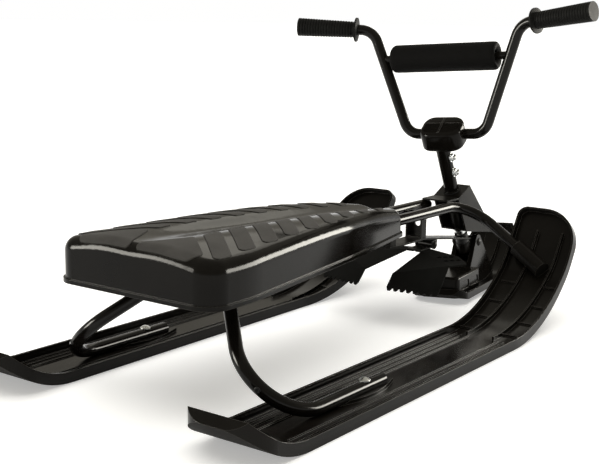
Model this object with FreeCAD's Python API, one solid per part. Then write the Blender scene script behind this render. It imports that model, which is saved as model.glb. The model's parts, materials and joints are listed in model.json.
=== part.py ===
import FreeCAD, Part
import math
import os

# Steering sled: two long twin-tip side skis under a two-tube frame with a moulded seat, one short
# front ski turned by a handlebar, and a spring-returned foot brake with two toothed blades.
# Millimetres and degrees. X forward, Y left, Z up from the snow. Stations along X are measured
# from the ski tails and the finished sled is moved back by half its length.

V = FreeCAD.Vector
os.makedirs("parts", exist_ok=True)

# Driving dimensions: side skis
ski_track = 409.0
ski_width = 121.0
ski_rim = 16.4
ski_floor = 4.0
ski_wall = 3.4
tail_radius = 150.0
tail_angle = 47.5
flat_start = 105.0
flat_end = 650.0
rocker_radius = 330.0
rocker_angle = 38.0
tip_radius = 130.0
tip_angle = 57.0
tip_plate = 80.0
tip_inset_inner = 13.0
tip_inset_outer = 17.0
tail_corner = 46.0
tip_corner_inner = 17.0
tip_corner_outer = 66.0
ridge_height = 2.4
ridge_width = 2.2
ridge_first = 26.0
ridge_pitch = 11.0
ridge_count = 3
rail_offset = 23.0
rail_width = 3.0
rail_height = 7.0
rib_angles = (6.0, 15.0, 24.0, 33.0)
rib_thickness = 2.6
saddle_length = 150.0
saddle_half = 19.0
saddle_height = 5.0
socket_wall = 5.0
socket_cover = 62.0

# Driving dimensions: frame tubes
tube_d = 19.0
tube_wall = 1.8
tube_gap = 53.0
tube_height = 170.7
bend_lead = 19.4
leg_bend_x = 226.0
leg_foot_x = 63.0
leg_end_x = 352.0
split_x = 330.0
bolt_x = 309.0
front_bend_radius = 52.0
knee_radius = 60.0
foot_radius = 75.0
socket_angle = 39.0
socket_height = 14.2
spigot_length = 70.0
bore_clear = 0.05

# Driving dimensions: steering head
lean = 25.75
head_rise = 34.7
rest_turn = 8.3
shaft_d = 16.0
plate_t = 3.0
head_top = -14.0
head_bottom = -85.0
head_front = 21.5
head_rear = 24.0
head_low_rear = 20.0
head_low_front = 34.0
head_half = 26.0
head_tube_d = 27.0
bush_d = 21.0
bush_flange_d = 30.0
bush_length = 30.0
flange_t = 2.0
gap = 0.3
washer_t = 2.0
column_d = 25.4
column_top = 82.0
foot_plate_back = 54.6
column_screw_low = 26.0
column_screw_pitch = 31.0
collar_d = 26.0
collar_t = 6.0
sleeve_d = 20.0
strap_bush_d = 24.0
strap_bush_low = -127.0
strap_bush_high = -107.0
yoke_d = 26.0
yoke_drop = 13.0
pivot_x = 974.0
pivot_drop = 84.7
pivot_lead = 23.8
pivot_d = 8.0
pivot_head_share = 1.9
pivot_rise_share = 0.5
nut_rise_share = 0.75
lug_half = 12.0
lug_radius = 12.0

# Driving dimensions: handlebar
bar_d = 19.0
bar_wall = 1.8
bar_lead = 28.1
bar_rise = 92.6
bar_low_half = 73.0
bar_top_ahead = 3.0
bar_top_rise = 189.4
bar_end_half = 272.0
bar_stub = 3.9
bend_reach_share = 0.66
grip_sweep = 14.83
grip_tilt = 5.22
bar_low_radius = 30.0
bar_top_radius = 34.0
cross_rise = 136.0
cross_d = 14.0
pad_d = 52.0
pad_side_gap = 10.5
pad_round = 9.0
grip_d = 29.0
grip_end_d = 33.0
grip_length = 106.0
grip_flange_d = 44.0
grip_flange_t = 5.0
grip_ribs = 20
grip_rib_depth = 1.3
grip_end_cap = 4.0
cover_half = 38.0
cover_wall = 3.0
cover_top_share = 0.6
cover_shoulder = 14.0
cover_long = 52.0
cover_tall = 53.0
cover_set_back = 10.0
cover_outline_shares = ((-0.5, -0.12), (-0.365, 0.32), (0.04, 0.51), (0.425, 0.32),
                        (0.5, -0.12), (0.31, -0.49), (-0.404, -0.49))
clamp_half = 20.0
clamp_back = 26.0
clamp_front = 11.0
clamp_up = 13.0
clamp_down = 20.0
screw_d = 8.0
dome_d = 14.0
shank_share = 0.6
dome_share = 0.8

# Driving dimensions: front ski
front_width = 102.0
front_rear_back = 159.0
front_flat_back = 124.0
front_flat_ahead = 16.0
front_tip_radius = 166.0
front_tip_angle = 63.0
front_rear_radius = 62.0
front_floor = 5.0
front_rim = 12.0
front_wall = 4.0
front_lift = 4.1
front_corner = 26.0
front_tip_corner = 42.0
body_half = 37.0
body_back = 146.0
body_front_back = 34.0
body_height = 45.0
body_edge = 5.0
hump_half = 22.0
hump_ahead = 78.0
hump_back = 44.0
cheek_eye = 14.0
slot_half = 13.4
slot_drop = 32.0
panel_depth = 1.5
panel_height = 15.0
panel_length = 40.0
panel_round = 5.0
nose_rib_half = 14.0
nose_rib_height = 9.0

# Driving dimensions: seat
seat_rear_x = 73.0
seat_nose_x = 661.0
seat_drop = 17.7
seat_height = 68.5
seat_half_rear = 138.0
seat_half_mid = 93.0
seat_half_nose = 46.0
seat_wide_x = 150.0
seat_mid_x = 437.0
seat_rear_round = 31.0
seat_nose_round = 30.0
seat_blend = 320.0
seat_crown_x = 150.0
seat_crown_radius = 5200.0
seat_ridge = 40.0
seat_valley = 8.5
seat_fall = 13.0
fall_share = 0.385
valley_side_share = 0.455
valley_drop_share = 0.62
crown_sections = 6
seat_edge = 20.0
hollow_edge = 10.0
crown_out = 16.0
valley_start = 25.0
valley_run = 150.0
seat_wall = 6.0
seat_roof = 9.0
lip_out = 3.0
lip_height = 4.5
pad_count = 9
pad_pitch = 51.0
pad_first_x = 202.0
pad_long = 33.0
pad_sweep = 42.0
pad_inner = 40.0
pad_margin_rear = 13.0
pad_margin_front = 6.0
pad_corner = 5.0
pad_shoulder = 14.0
pad_sunk = 1.4
pad_proud = 1.0
pad_fit = 0.25
big_pad_rear_x = 79.0
big_pad_bulge = 2.5
big_pad_bulge_share = 0.51
big_pad_tip_back = 1.5
big_pad_tip_share = 0.08

# Driving dimensions: hanger and brake
strap_tail = 18.0
strap_half = 17.0
strap_drop = 46.7
strap_t = 3.0
hanger_clear = 20.0
hanger_span = 99.0
hanger_half = 16.3
hanger_flange = 13.0
notch_half = 5.5
notch_depth = 22.0
brake_ahead = 32.0
ear_half = 15.0
ear_t = 3.0
ear_radius = 8.0
axle_d = 8.0
axle_head_share = 1.7
axle_rise_share = 0.4
hub_d = 12.0
hub_half = 14.4
brake_sheet = 2.4
blade_drop = 41.8
blade_teeth = 8
tooth_flat_shares = (0.3, 0.7)
tooth_depth = 6.0
tread_hole_d = 4.6
tread_rim_d = 8.0
tread_rim_height = 1.8
tread_rows = 2
tread_columns = 3
tread_pitch_along = 28.0
tread_pitch_across = 11.0
tread_back = 66.0
tread_half = 66.0
tread_turn = 36.0
wing_root_half = 2.0
wing_root_back = 40.0
wing_front_back = 6.0
wing_shoulder_back = 36.0
wing_shoulder_half = 86.0
wing_tip_back = 79.0
wing_tip_half = 126.0
wing_rear_back = 114.0
wing_rear_half = 112.0
wing_inner_half = 14.0
blade_inner_half = 28.0
blade_outer_half = 115.0
blade_inner_back = 177.0
blade_outer_back = 158.0
blade_fold_back = 154.0
blade_fold_share = 0.56
rivet_margin = 12.0
rivet_pitch = 12.0

# Small parts
bracket_rear_back = 117.0
bracket_front_back = 447.0
bracket_length = 36.0
bracket_t = 3.0
bracket_rear_share = 0.62
bracket_front_share = 0.78
boss_d = 15.0
seat_screw_d = 5.0
screw_grip_share = 1.6
screw_rise_share = 0.6
bolt_d = 8.0
bolt_rise_share = 0.55
rivet_d = 5.0
rivet_shank_share = 0.7
cut_margin = 2.0

# Derived values
tube_r = tube_d / 2
ski_y = ski_track / 2
tube_y = tube_gap / 2
lean_rad = math.radians(lean)
axis_dir = V(-math.sin(lean_rad), 0, math.cos(lean_rad))
plate_dir = V(math.cos(lean_rad), 0, math.sin(lean_rad))
head_z = tube_height + head_rise
pivot_z = tube_height - pivot_drop
head_x = pivot_x - pivot_lead - (head_z - pivot_z) * math.tan(lean_rad)
head_point = V(head_x, 0, head_z)
side = V(0, 1, 0)
up = V(0, 0, 1)
ahead = V(1, 0, 0)
foot_z = ski_floor + tube_r + gap / 2
lean_slope = math.tan(lean_rad)
bend_x = head_x + bend_lead
foot_plate_x = head_x - foot_plate_back
yoke_low = -(head_z - pivot_z + yoke_drop) / math.cos(lean_rad)
bar_z = head_z + bar_rise
bar_x = head_x - bar_rise * lean_slope + bar_lead
bar_top_x = bar_x + bar_top_ahead
bar_top_z = bar_z + bar_top_rise
sweep_rad = math.radians(grip_sweep)
tilt_rad = math.radians(grip_tilt)
grip_run = grip_length + grip_flange_t + bar_top_radius * bend_reach_share + bar_stub
bar_top_half = bar_end_half - grip_run * math.cos(tilt_rad) * math.cos(sweep_rad)
bar_end_x = bar_top_x - grip_run * math.cos(tilt_rad) * math.sin(sweep_rad)
bar_end_z = bar_top_z + grip_run * math.sin(tilt_rad)
cross_z = bar_z + cross_rise
front_rear_x = pivot_x - front_rear_back
front_flat_start = pivot_x - front_flat_back
front_flat_end = pivot_x + front_flat_ahead
body_rear_x = pivot_x - body_back
body_front_x = pivot_x - body_front_back
hump_foot_x = pivot_x + hump_ahead
hump_rear_x = pivot_x - hump_back
slot_floor = pivot_z - slot_drop
seat_low = tube_height - seat_drop
seat_top = seat_low + seat_height
seat_bracket_rear_x = seat_rear_x + bracket_rear_back
seat_bracket_front_x = seat_rear_x + bracket_front_back
strap_z = tube_height - strap_drop
hanger_rear_x = seat_nose_x + hanger_clear
hanger_front_x = hanger_rear_x + hanger_span
strap_rear_x = hanger_rear_x - strap_tail
brake_x = hanger_front_x + brake_ahead

nodes = {}


def on_axis(s):
    return head_point + axis_dir * s


def cylinder(start, end, radius):
    line = end - start
    return Part.makeCylinder(radius, line.Length, start, line)


def ring(start, end, outer, inner):
    line = end - start
    line.normalize()
    tool = cylinder(start - line * cut_margin, end + line * cut_margin, inner)
    return cylinder(start, end, outer).cut(tool)


def axis_ring(low, high, outer_d, inner_d):
    return ring(on_axis(low), on_axis(high), outer_d / 2, inner_d / 2)


def box(x0, x1, y0, y1, z0, z1):
    return Part.makeBox(x1 - x0, y1 - y0, z1 - z0, V(x0, y0, z0))


def fuse_all(shapes):
    first = shapes[0]
    if len(shapes) == 1:
        return first
    return first.multiFuse(list(shapes[1:])).removeSplitter()


def mirrored(shape):
    return shape.mirror(V(0, 0, 0), side)


def corner_points(before, here, after, radius):
    back = before - here
    forth = after - here
    back.normalize()
    forth.normalize()
    half = back.getAngle(forth) / 2
    reach = radius / math.tan(half)
    middle = back + forth
    middle.normalize()
    centre = here + middle * (radius / math.sin(half))
    return here + back * reach, centre - middle * radius, here + forth * reach


def bent_edges(points, radii, closed):
    count = len(points)
    starts = []
    ends = []
    edges = []
    for i in range(count):
        inside = closed or 0 < i < count - 1
        if inside and radii[i] > 0:
            before = points[(i - 1) % count]
            after = points[(i + 1) % count]
            enter, middle, leave = corner_points(before, points[i], after, radii[i])
            starts.append(enter)
            ends.append(leave)
            edges.append((i, Part.Arc(enter, middle, leave).toShape()))
        else:
            starts.append(points[i])
            ends.append(points[i])
            edges.append((i, None))
    result = []
    last = count if closed else count - 1
    for i in range(count):
        if edges[i][1] is not None:
            result.append(edges[i][1])
        if i < last:
            a = ends[i]
            b = starts[(i + 1) % count]
            if a.distanceToPoint(b) > gap / count:
                result.append(Part.LineSegment(a, b).toShape())
    return result


def rounded_face(points, radii):
    return Part.Face(Part.Wire(bent_edges(points, radii, True)))


def swept(points, radii, radius):
    path = Part.Wire(bent_edges(points, radii, False))
    ring_wire = Part.Wire([Part.Circle(points[0], points[1] - points[0], radius).toShape()])
    body = path.makePipeShell([ring_wire], True, True)
    return body if body.ShapeType == "Solid" else Part.Solid(body.Shells[0])


def bent_tube(points, radii, diameter, wall):
    outer = swept(points, radii, diameter / 2)
    inner = swept(points, radii, diameter / 2 - wall)
    return outer.cut(inner)


def prism(points, direction):
    return Part.Face(Part.makePolygon(list(points) + [points[0]])).extrude(direction)


# Side skis: the side profile is a tail arc, a flat sole, two rocker arcs and a straight tip
tail_rad = math.radians(tail_angle)
rocker_rad = math.radians(rocker_angle)
tip_rad = math.radians(tip_angle)
rocker_centre = V(flat_end, 0, rocker_radius)
step = rocker_radius - tip_radius
tip_centre = rocker_centre + V(step * math.sin(rocker_rad), 0, -step * math.cos(rocker_rad))
tail_centre = V(flat_start, 0, tail_radius)
tip_dir = V(math.cos(tip_rad), 0, math.sin(tip_rad))
tip_normal = V(-math.sin(tip_rad), 0, math.cos(tip_rad))


def swing(centre, radius, angle):
    return centre + V(radius * math.sin(angle), 0, -radius * math.cos(angle))


def profile_edges(raise_by, tail, rocker_from, tip_length):
    r1 = rocker_radius - raise_by
    r2 = tip_radius - raise_by
    edges = []
    if tail > 0:
        rt = tail_radius - raise_by
        a = swing(tail_centre, rt, -tail)
        m = swing(tail_centre, rt, -tail / 2)
        b = swing(tail_centre, rt, 0)
        edges.append(Part.Arc(a, m, b).toShape())
        edges.append(Part.LineSegment(b, swing(rocker_centre, r1, 0)).toShape())
    start = swing(rocker_centre, r1, rocker_from)
    middle = swing(rocker_centre, r1, (rocker_from + rocker_rad) / 2)
    knee = swing(rocker_centre, r1, rocker_rad)
    edges.append(Part.Arc(start, middle, knee).toShape())
    bend = swing(tip_centre, r2, (rocker_rad + tip_rad) / 2)
    base = swing(tip_centre, r2, tip_rad)
    edges.append(Part.Arc(knee, bend, base).toShape())
    edges.append(Part.LineSegment(base, base + tip_dir * tip_length).toShape())
    return edges


def slab(low, high, y0, y1, tail, rocker_from, tip_length):
    under = profile_edges(low, tail, rocker_from, tip_length)
    over = profile_edges(high, tail, rocker_from, tip_length)
    front = Part.LineSegment(under[-1].Vertexes[-1].Point, over[-1].Vertexes[-1].Point).toShape()
    back = Part.LineSegment(under[0].Vertexes[0].Point, over[0].Vertexes[0].Point).toShape()
    edges = Part.__sortEdges__(under + [front] + over + [back])
    face = Part.Face(Part.Wire(edges))
    face.translate(V(0, y0, 0))
    return face.extrude(V(0, y1 - y0, 0))


ski_in = ski_y - ski_width / 2
ski_out = ski_y + ski_width / 2
tail_x = flat_start - tail_radius * math.sin(tail_rad)
tip_base = swing(tip_centre, tip_radius, tip_rad)
tip_end = tip_base + tip_dir * tip_plate
tip_in = ski_in - tip_inset_inner
tip_out = ski_out - tip_inset_outer


def ski_plan(inset, height):
    x0 = tail_x + inset * math.cos(tail_rad)
    x1 = tip_end.x + cut_margin * tail_corner
    points = [V(x0, ski_in + inset, 0), V(flat_end, ski_in + inset, 0),
              V(tip_base.x, tip_in + inset, 0), V(x1, tip_in + inset, 0),
              V(x1, tip_out - inset, 0), V(tip_base.x, tip_out - inset, 0),
              V(flat_end, ski_out - inset, 0), V(x0, ski_out - inset, 0)]
    soft = rocker_radius
    corner = tail_corner - inset
    radii = [corner, soft, soft, 0, 0, soft, soft, corner]
    return rounded_face(points, radii).extrude(V(0, 0, height))


def tip_cutter(inset, y_edge, outward, radius):
    r = radius - inset
    top = tip_end - tip_dir * inset
    centre = top - tip_dir * r + V(0, y_edge - outward * (r + inset), 0)
    reach = ski_rim * cut_margin
    low = centre - tip_normal * reach
    a = low
    b = low + tip_dir * (r + ski_rim)
    c = b + side * (outward * (r + ski_rim))
    d = low + side * (outward * (r + ski_rim))
    block = prism([a, b, c, d], tip_normal * (reach + reach))
    return block.cut(Part.makeCylinder(r, reach + reach, low, tip_normal))


def ski_blank(inset, low, high):
    tail = tail_rad - inset / tail_radius
    body = slab(low, high, ski_in - tail_corner, ski_out + tail_corner, tail, 0, tip_plate - inset)
    body = body.common(ski_plan(inset, tip_end.z + tip_plate))
    body = body.cut(tip_cutter(inset, tip_in, -1, tip_corner_inner))
    return body.cut(tip_cutter(inset, tip_out, 1, tip_corner_outer))


def ski_strip(y0, y1, height, rocker_from, tip_length):
    return slab(ski_floor / 2, ski_floor + height, y0, y1, 0, rocker_from, tip_length)


# Tube routes on the left side
socket_rad = math.radians(socket_angle)
socket_end = swing(rocker_centre, rocker_radius - socket_height, socket_rad) + V(0, ski_y, 0)
bend_point = V(bend_x, tube_y, tube_height)
knee_point = V(leg_bend_x, tube_y, tube_height)
foot_point = V(leg_foot_x, ski_y, foot_z)
leg_end = V(leg_end_x, ski_y, foot_z)
split_point = V(split_x, tube_y, tube_height)
main_route = [socket_end, bend_point, split_point]
leg_route = [split_point - V(gap / 2, 0, 0), knee_point, foot_point, leg_end]
socket_dir = bend_point - socket_end
socket_dir.normalize()


def make_ski():
    pocket = ski_blank(ski_wall, ski_floor, ski_rim + cut_margin)
    ski = ski_blank(0, 0, ski_rim).cut(pocket)
    inside = ski_blank(ski_wall / 2, ski_floor / 2, ski_rim + tip_plate / 2)
    extras = []
    for i in range(ridge_count):
        for sign in (-1, 1):
            y = ski_y + sign * (ridge_first + i * ridge_pitch)
            low = ski_floor / 2
            high = ski_floor + ridge_height
            half = ridge_width / 2
            extras.append(box(flat_start, flat_end, y - half, y + half, low, high))
    for sign in (-1, 1):
        y = ski_y - tip_inset_inner / 2 + sign * rail_offset
        y0 = y - rail_width / 2
        extras.append(ski_strip(y0, y0 + rail_width, rail_height, 0, tip_plate / 2))
    for angle in rib_angles:
        rad = math.radians(angle)
        foot = swing(rocker_centre, rocker_radius - ski_floor / 2, rad)
        along = V(math.cos(rad), 0, math.sin(rad))
        normal = V(-math.sin(rad), 0, math.cos(rad))
        a = foot - along * (rib_thickness / 2)
        b = a + along * rib_thickness
        rise = normal * (rail_height - ridge_width)
        for sign in (-1, 1):
            y0 = ski_y - tip_inset_inner / 2 + sign * (rail_offset - rail_width / 2)
            y1 = ski_y + sign * ski_width / 2
            start = V(0, y0, 0)
            extras.append(prism([a + start, b + start, b + rise + start, a + rise + start],
                                V(0, y1 - y0, 0)))
    saddle_x = bolt_x - saddle_length / 2
    saddle_points = [V(saddle_x, ski_y, 0), V(bolt_x, ski_y - saddle_half - tube_r / 2, 0),
                     V(saddle_x + saddle_length, ski_y, 0), V(bolt_x, ski_y + saddle_half + tube_r / 2, 0)]
    boat = rounded_face(saddle_points, [ridge_width, saddle_length, ridge_width, saddle_length])
    boat.translate(V(0, 0, ski_floor / 2))
    boat = boat.extrude(V(0, 0, ski_floor / 2 + saddle_height))
    extras.append(boat)
    boss_start = socket_end - socket_dir * socket_wall
    boss_end = socket_end + socket_dir * socket_cover
    extras.append(cylinder(boss_start, boss_end, tube_r + socket_wall))
    added = fuse_all(extras).common(inside)
    ski = ski.fuse(added).removeSplitter()
    bore = cylinder(socket_end, bend_point, tube_r + bore_clear)
    groove = cylinder(V(flat_start, ski_y, foot_z), leg_end + V(gap, 0, 0), tube_r + gap / 2)
    clear = swept(leg_route, [0, knee_radius, foot_radius, 0], tube_r + gap)
    floor_keep = box(flat_start, flat_end, ski_in, ski_out, 0, ski_floor)
    ski = ski.cut(bore).cut(groove.fuse(clear).cut(floor_keep))
    hole = cylinder(V(bolt_x, ski_y, ski_floor / 2), V(bolt_x, ski_y, tube_d), bolt_d / 2 + bore_clear)
    return ski.cut(hole)


def make_main_tube():
    tube = bent_tube(main_route, [0, front_bend_radius, 0], tube_d, tube_wall)
    return tube


def make_leg_tube():
    tube = bent_tube(leg_route, [0, knee_radius, foot_radius, 0], tube_d, tube_wall)
    hole = cylinder(V(bolt_x, ski_y, 0), V(bolt_x, ski_y, tube_d * 2), bolt_d / 2 + bore_clear)
    return tube.cut(hole)


def make_spigot():
    start = split_point - V(spigot_length / 2, 0, 0)
    return ring(start, start + V(spigot_length, 0, 0), tube_r - tube_wall - bore_clear, tube_r / 2)


def dome_bolt(base, direction, shank_d, length, head_d, head_t):
    line = V(direction)
    line.normalize()
    shank = cylinder(base, base - line * length, shank_d / 2)
    radius = (head_d * head_d / 4 + head_t * head_t) / (2 * head_t)
    ball = Part.makeSphere(radius, base + line * (head_t - radius))
    cap = ball.common(cylinder(base, base + line * head_t * 2, head_d))
    return shank.fuse(cap).removeSplitter()


def make_ski_bolt():
    head_base = V(bolt_x, ski_y, foot_z + tube_r)
    seat_pad = cylinder(head_base - V(0, 0, tube_wall / 2), head_base + V(0, 0, tube_wall / 2), bolt_d)
    bolt = dome_bolt(head_base, up, bolt_d, head_base.z - ski_floor / 2 - gap, bolt_d * 2,
                     bolt_d * bolt_rise_share)
    pad_bore = cylinder(V(bolt_x - tube_d, ski_y, foot_z), V(bolt_x + tube_d, ski_y, foot_z), tube_r)
    return bolt.fuse(seat_pad.cut(pad_bore)).removeSplitter()


# Steering head: a folded sheet box on the tubes, a bearing tube and two flanged bushes
def head_plate(s, rear, front, half):
    base = on_axis(s)
    a = base - plate_dir * rear - side * half
    b = base + plate_dir * front - side * half
    c = b + side * (half + half)
    d = a + side * (half + half)
    return prism([a, b, c, d], axis_dir * -plate_t)


def make_head_bracket():
    top = head_plate(head_top, head_rear, head_front, head_half)
    low = head_plate(head_bottom, head_low_rear, head_low_front, head_half)
    pieces = [top, low]
    for sign in (-1, 1):
        y0 = sign * head_half
        shift = V(0, y0, 0)
        a = on_axis(head_top) - plate_dir * head_rear + shift
        b = on_axis(head_top) + plate_dir * head_front + shift
        c = on_axis(head_bottom - plate_t) + plate_dir * head_low_front + shift
        d = on_axis(head_bottom - plate_t) - plate_dir * head_low_rear + shift
        pieces.append(prism([a, b, c, d], V(0, -sign * plate_t, 0)))
    front_low = on_axis(head_bottom) + plate_dir * head_low_front - side * head_half
    front_high = on_axis(head_top - plate_t) + plate_dir * head_front - side * head_half
    back = plate_dir * -plate_t
    pieces.append(prism([front_low, front_high, front_high + back, front_low + back],
                        V(0, head_half + head_half, 0)))
    base_z = tube_height + tube_r + gap
    rear_edge = on_axis(head_top) - plate_dir * head_rear
    pieces.append(box(foot_plate_x, rear_edge.x + plate_t, -head_half, head_half, base_z, base_z + plate_t))
    bracket = fuse_all(pieces)
    for sign in (-1, 1):
        route = [V(p.x, p.y * sign, p.z) for p in main_route]
        room = swept(route, [0, front_bend_radius, 0], tube_r + gap)
        bracket = bracket.cut(room)
    low = on_axis(head_bottom - bush_length)
    high = on_axis(head_top + bush_length)
    return bracket.cut(cylinder(low, high, bush_d / 2 + bore_clear))


def make_head_tube():
    low = on_axis(head_bottom)
    high = on_axis(head_top - plate_t)
    return ring(low, high, head_tube_d / 2, bush_d / 2 + bore_clear)


def make_bush(face, direction):
    flange = axis_ring(min(face, face + direction * flange_t), max(face, face + direction * flange_t),
                       bush_flange_d, shaft_d + bore_clear * 2)
    inner = face - direction * (bush_length + plate_t)
    barrel = axis_ring(min(face, inner), max(face, inner), bush_d, shaft_d + bore_clear * 2)
    return flange.fuse(barrel).removeSplitter()


# Steering shaft, column and ski yoke
def make_shaft():
    return cylinder(on_axis(yoke_low), on_axis(column_top / 2), shaft_d / 2)


washer_low = head_top + flange_t + gap
column_low = washer_low + washer_t
collar_high = head_bottom - plate_t - flange_t - gap
collar_low = collar_high - collar_t
sleeve_low = strap_bush_high + gap
yoke_high = strap_bush_low - gap


def make_column():
    column = axis_ring(column_low, column_top, column_d, shaft_d)
    blend = cylinder(on_axis(column_top / 2), on_axis(column_top + cut_margin), column_d / 2 - bar_wall)
    bar_room = cylinder(V(bar_x, -bar_low_half, bar_z), V(bar_x, bar_low_half, bar_z), bar_d / 2 + gap)
    column = column.cut(blend).cut(bar_room)
    for s in column_screw_s:
        start = on_axis(s)
        hole = cylinder(start, start - side * column_d, screw_d * shank_share / 2 + bore_clear)
        column = column.cut(hole)
    return column


column_screw_s = (column_screw_low, column_screw_low + column_screw_pitch)


def make_column_screws():
    screws = []
    for s in column_screw_s:
        base = on_axis(s) - side * (column_d / 2)
        head_d = dome_d * dome_share
        screws.append(dome_bolt(base, -side, screw_d * shank_share, bar_wall, head_d, head_d / 2))
    return screws


def make_yoke():
    hub = axis_ring(yoke_low, yoke_high, yoke_d, shaft_d)
    pivot = V(pivot_x, -lug_half, pivot_z)
    eye = Part.makeCylinder(lug_radius, lug_half + lug_half, pivot, side)
    anchor = on_axis((yoke_low + yoke_high) / 2)
    low = V(anchor.x, -lug_half, pivot_z - lug_radius)
    neck = prism([low, low + V(pivot_x - anchor.x, 0, 0), V(pivot_x, -lug_half, pivot_z + lug_radius),
                  low + V(0, 0, lug_radius * 2)], V(0, lug_half + lug_half, 0))
    top_trim = cylinder(on_axis(yoke_high), on_axis(yoke_high + tube_d * 2), tube_d * 2)
    low_trim = cylinder(on_axis(yoke_low), on_axis(yoke_low - tube_d), tube_d)
    neck = neck.cut(top_trim).cut(low_trim)
    core = cylinder(on_axis(yoke_low - tube_d), on_axis(yoke_high + tube_d), shaft_d / 2)
    bore = Part.makeCylinder(pivot_d / 2 + bore_clear, lug_half * 4, pivot - side * lug_half, side)
    return hub.fuse(eye.fuse(neck).cut(core)).removeSplitter().cut(bore)


# Handlebar, crossbar, pad and grips in the straight-ahead position
bar_route = [V(bar_end_x, -bar_end_half, bar_end_z), V(bar_top_x, -bar_top_half, bar_top_z),
             V(bar_x, -bar_low_half, bar_z), V(bar_x, bar_low_half, bar_z),
             V(bar_top_x, bar_top_half, bar_top_z), V(bar_end_x, bar_end_half, bar_end_z)]
bar_radii = [0, bar_top_radius, bar_low_radius, bar_low_radius, bar_top_radius, 0]


def bar_at(height):
    share = (height - bar_z) / (bar_top_z - bar_z)
    low = V(bar_x, bar_low_half, bar_z)
    high = V(bar_top_x, bar_top_half, bar_top_z)
    return low + (high - low) * share


def make_handlebar():
    return bent_tube(bar_route, bar_radii, bar_d, bar_wall)


def make_crossbar():
    end = bar_at(cross_z)
    bar = ring(V(end.x, -end.y, end.z), end, cross_d / 2, cross_d / 2 - bar_wall)
    for sign in (-1, 1):
        low = V(bar_x, sign * bar_low_half, bar_z)
        high = V(bar_top_x, sign * bar_top_half, bar_top_z)
        bar = bar.cut(cylinder(low, high, bar_d / 2))
    return bar


def make_crossbar_pad():
    mid = bar_at(cross_z)
    pad_half = mid.y - bar_d / 2 - pad_side_gap
    pad = Part.makeCylinder(pad_d / 2, pad_half * 2, V(mid.x, -pad_half, mid.z), side)
    pad = pad.makeFillet(pad_round, pad.Edges)
    bore = Part.makeCylinder(cross_d / 2 + bore_clear, pad_half * 4, V(mid.x, -pad_half * 2, mid.z), side)
    return pad.cut(bore)


def make_grip():
    end = V(bar_end_x, bar_end_half, bar_end_z)
    inward = V(bar_top_x, bar_top_half, bar_top_z) - end
    inward.normalize()
    outer_end = end - inward * grip_end_cap
    pitch = (grip_length - grip_end_cap) / grip_ribs
    points = [(0, 0), (grip_end_d / 2, 0), (grip_end_d / 2, grip_end_cap)]
    for i in range(grip_ribs):
        along = grip_end_cap + i * pitch
        share = i / grip_ribs
        radius = (grip_end_d + (grip_d - grip_end_d) * share) / 2
        points.append((radius - grip_rib_depth, along + pitch / 4))
        points.append((radius, along + pitch / 2))
        points.append((radius, along + pitch))
    points.append((grip_flange_d / 2, grip_length + grip_end_cap / 2))
    points.append((grip_flange_d / 2, grip_length + grip_flange_t))
    points.append((grip_d / 2, grip_length + grip_flange_t + grip_end_cap / 2))
    points.append((0, grip_length + grip_flange_t + grip_end_cap / 2))
    across = V(inward.z, 0, -inward.x)
    across.normalize()
    wire = [outer_end + across * r + inward * s for r, s in points]
    face = Part.Face(Part.makePolygon(wire + [wire[0]]))
    grip = face.revolve(outer_end, inward, 360)
    bore = cylinder(end, end + inward * grip_length * 2, bar_d / 2 + bore_clear)
    return grip.cut(bore)


def make_stem_clamp():
    block = box(bar_x - clamp_back, bar_x + clamp_front, -clamp_half, clamp_half,
                bar_z - clamp_down, bar_z + clamp_up)
    bar_line = (V(bar_x, -bar_end_half, bar_z), V(bar_x, bar_end_half, bar_z))
    bar_bore = cylinder(bar_line[0], bar_line[1], bar_d / 2 + bore_clear)
    column_bore = cylinder(on_axis(0), on_axis(column_top + cut_margin), column_d / 2 + bore_clear)
    return block.cut(bar_bore).cut(column_bore)


def cover_hull(shrink):
    half = cover_half - shrink
    top = half * cover_top_share
    long = cover_long - shrink * 2
    tall = cover_tall - shrink * 2
    points = []
    for share_x, share_z in cover_outline_shares:
        points.append(V(bar_x - cover_set_back + share_x * long, -half, bar_z + share_z * tall))
    body = prism(points, V(0, half * 2, 0))
    reach = cover_half * 2
    peak = cover_tall / 2
    for sign in (-1, 1):
        a = V(bar_x - reach, sign * half, bar_z + cover_shoulder - shrink)
        b = V(bar_x - reach, sign * half, bar_z + reach)
        c = V(bar_x - reach, sign * top, bar_z + reach)
        d = V(bar_x - reach, sign * top, bar_z + peak - shrink)
        body = body.cut(prism([a, b, c, d], V(reach * 2, 0, 0)))
        e = V(bar_x - reach, sign * half, bar_z - cover_shoulder + shrink)
        f = V(bar_x - reach, sign * half, bar_z - reach)
        g = V(bar_x - reach, sign * top, bar_z - reach)
        h = V(bar_x - reach, sign * top, bar_z - peak + shrink)
        body = body.cut(prism([e, f, g, h], V(reach * 2, 0, 0)))
    return body


def make_stem_covers():
    shell = cover_hull(0).cut(cover_hull(cover_wall))
    bar_bore = cylinder(V(bar_x, -bar_end_half, bar_z), V(bar_x, bar_end_half, bar_z), bar_d / 2 + gap)
    column_bore = cylinder(on_axis(0), on_axis(column_top + cut_margin), column_d / 2 + gap)
    block = box(bar_x - clamp_back - gap, bar_x + clamp_front + gap, -clamp_half - gap, clamp_half + gap,
                bar_z - clamp_down - gap, bar_z + clamp_up + gap)
    shell = shell.cut(bar_bore).cut(column_bore).cut(block)
    reach = cover_half * 2
    split = bar_x - bar_wall
    front = shell.common(box(split, bar_x + reach, -reach, reach, bar_z - reach, bar_z + reach))
    rear = shell.common(box(bar_x - reach, split - gap / 3, -reach, reach, bar_z - reach, bar_z + reach))
    return front, rear


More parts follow.
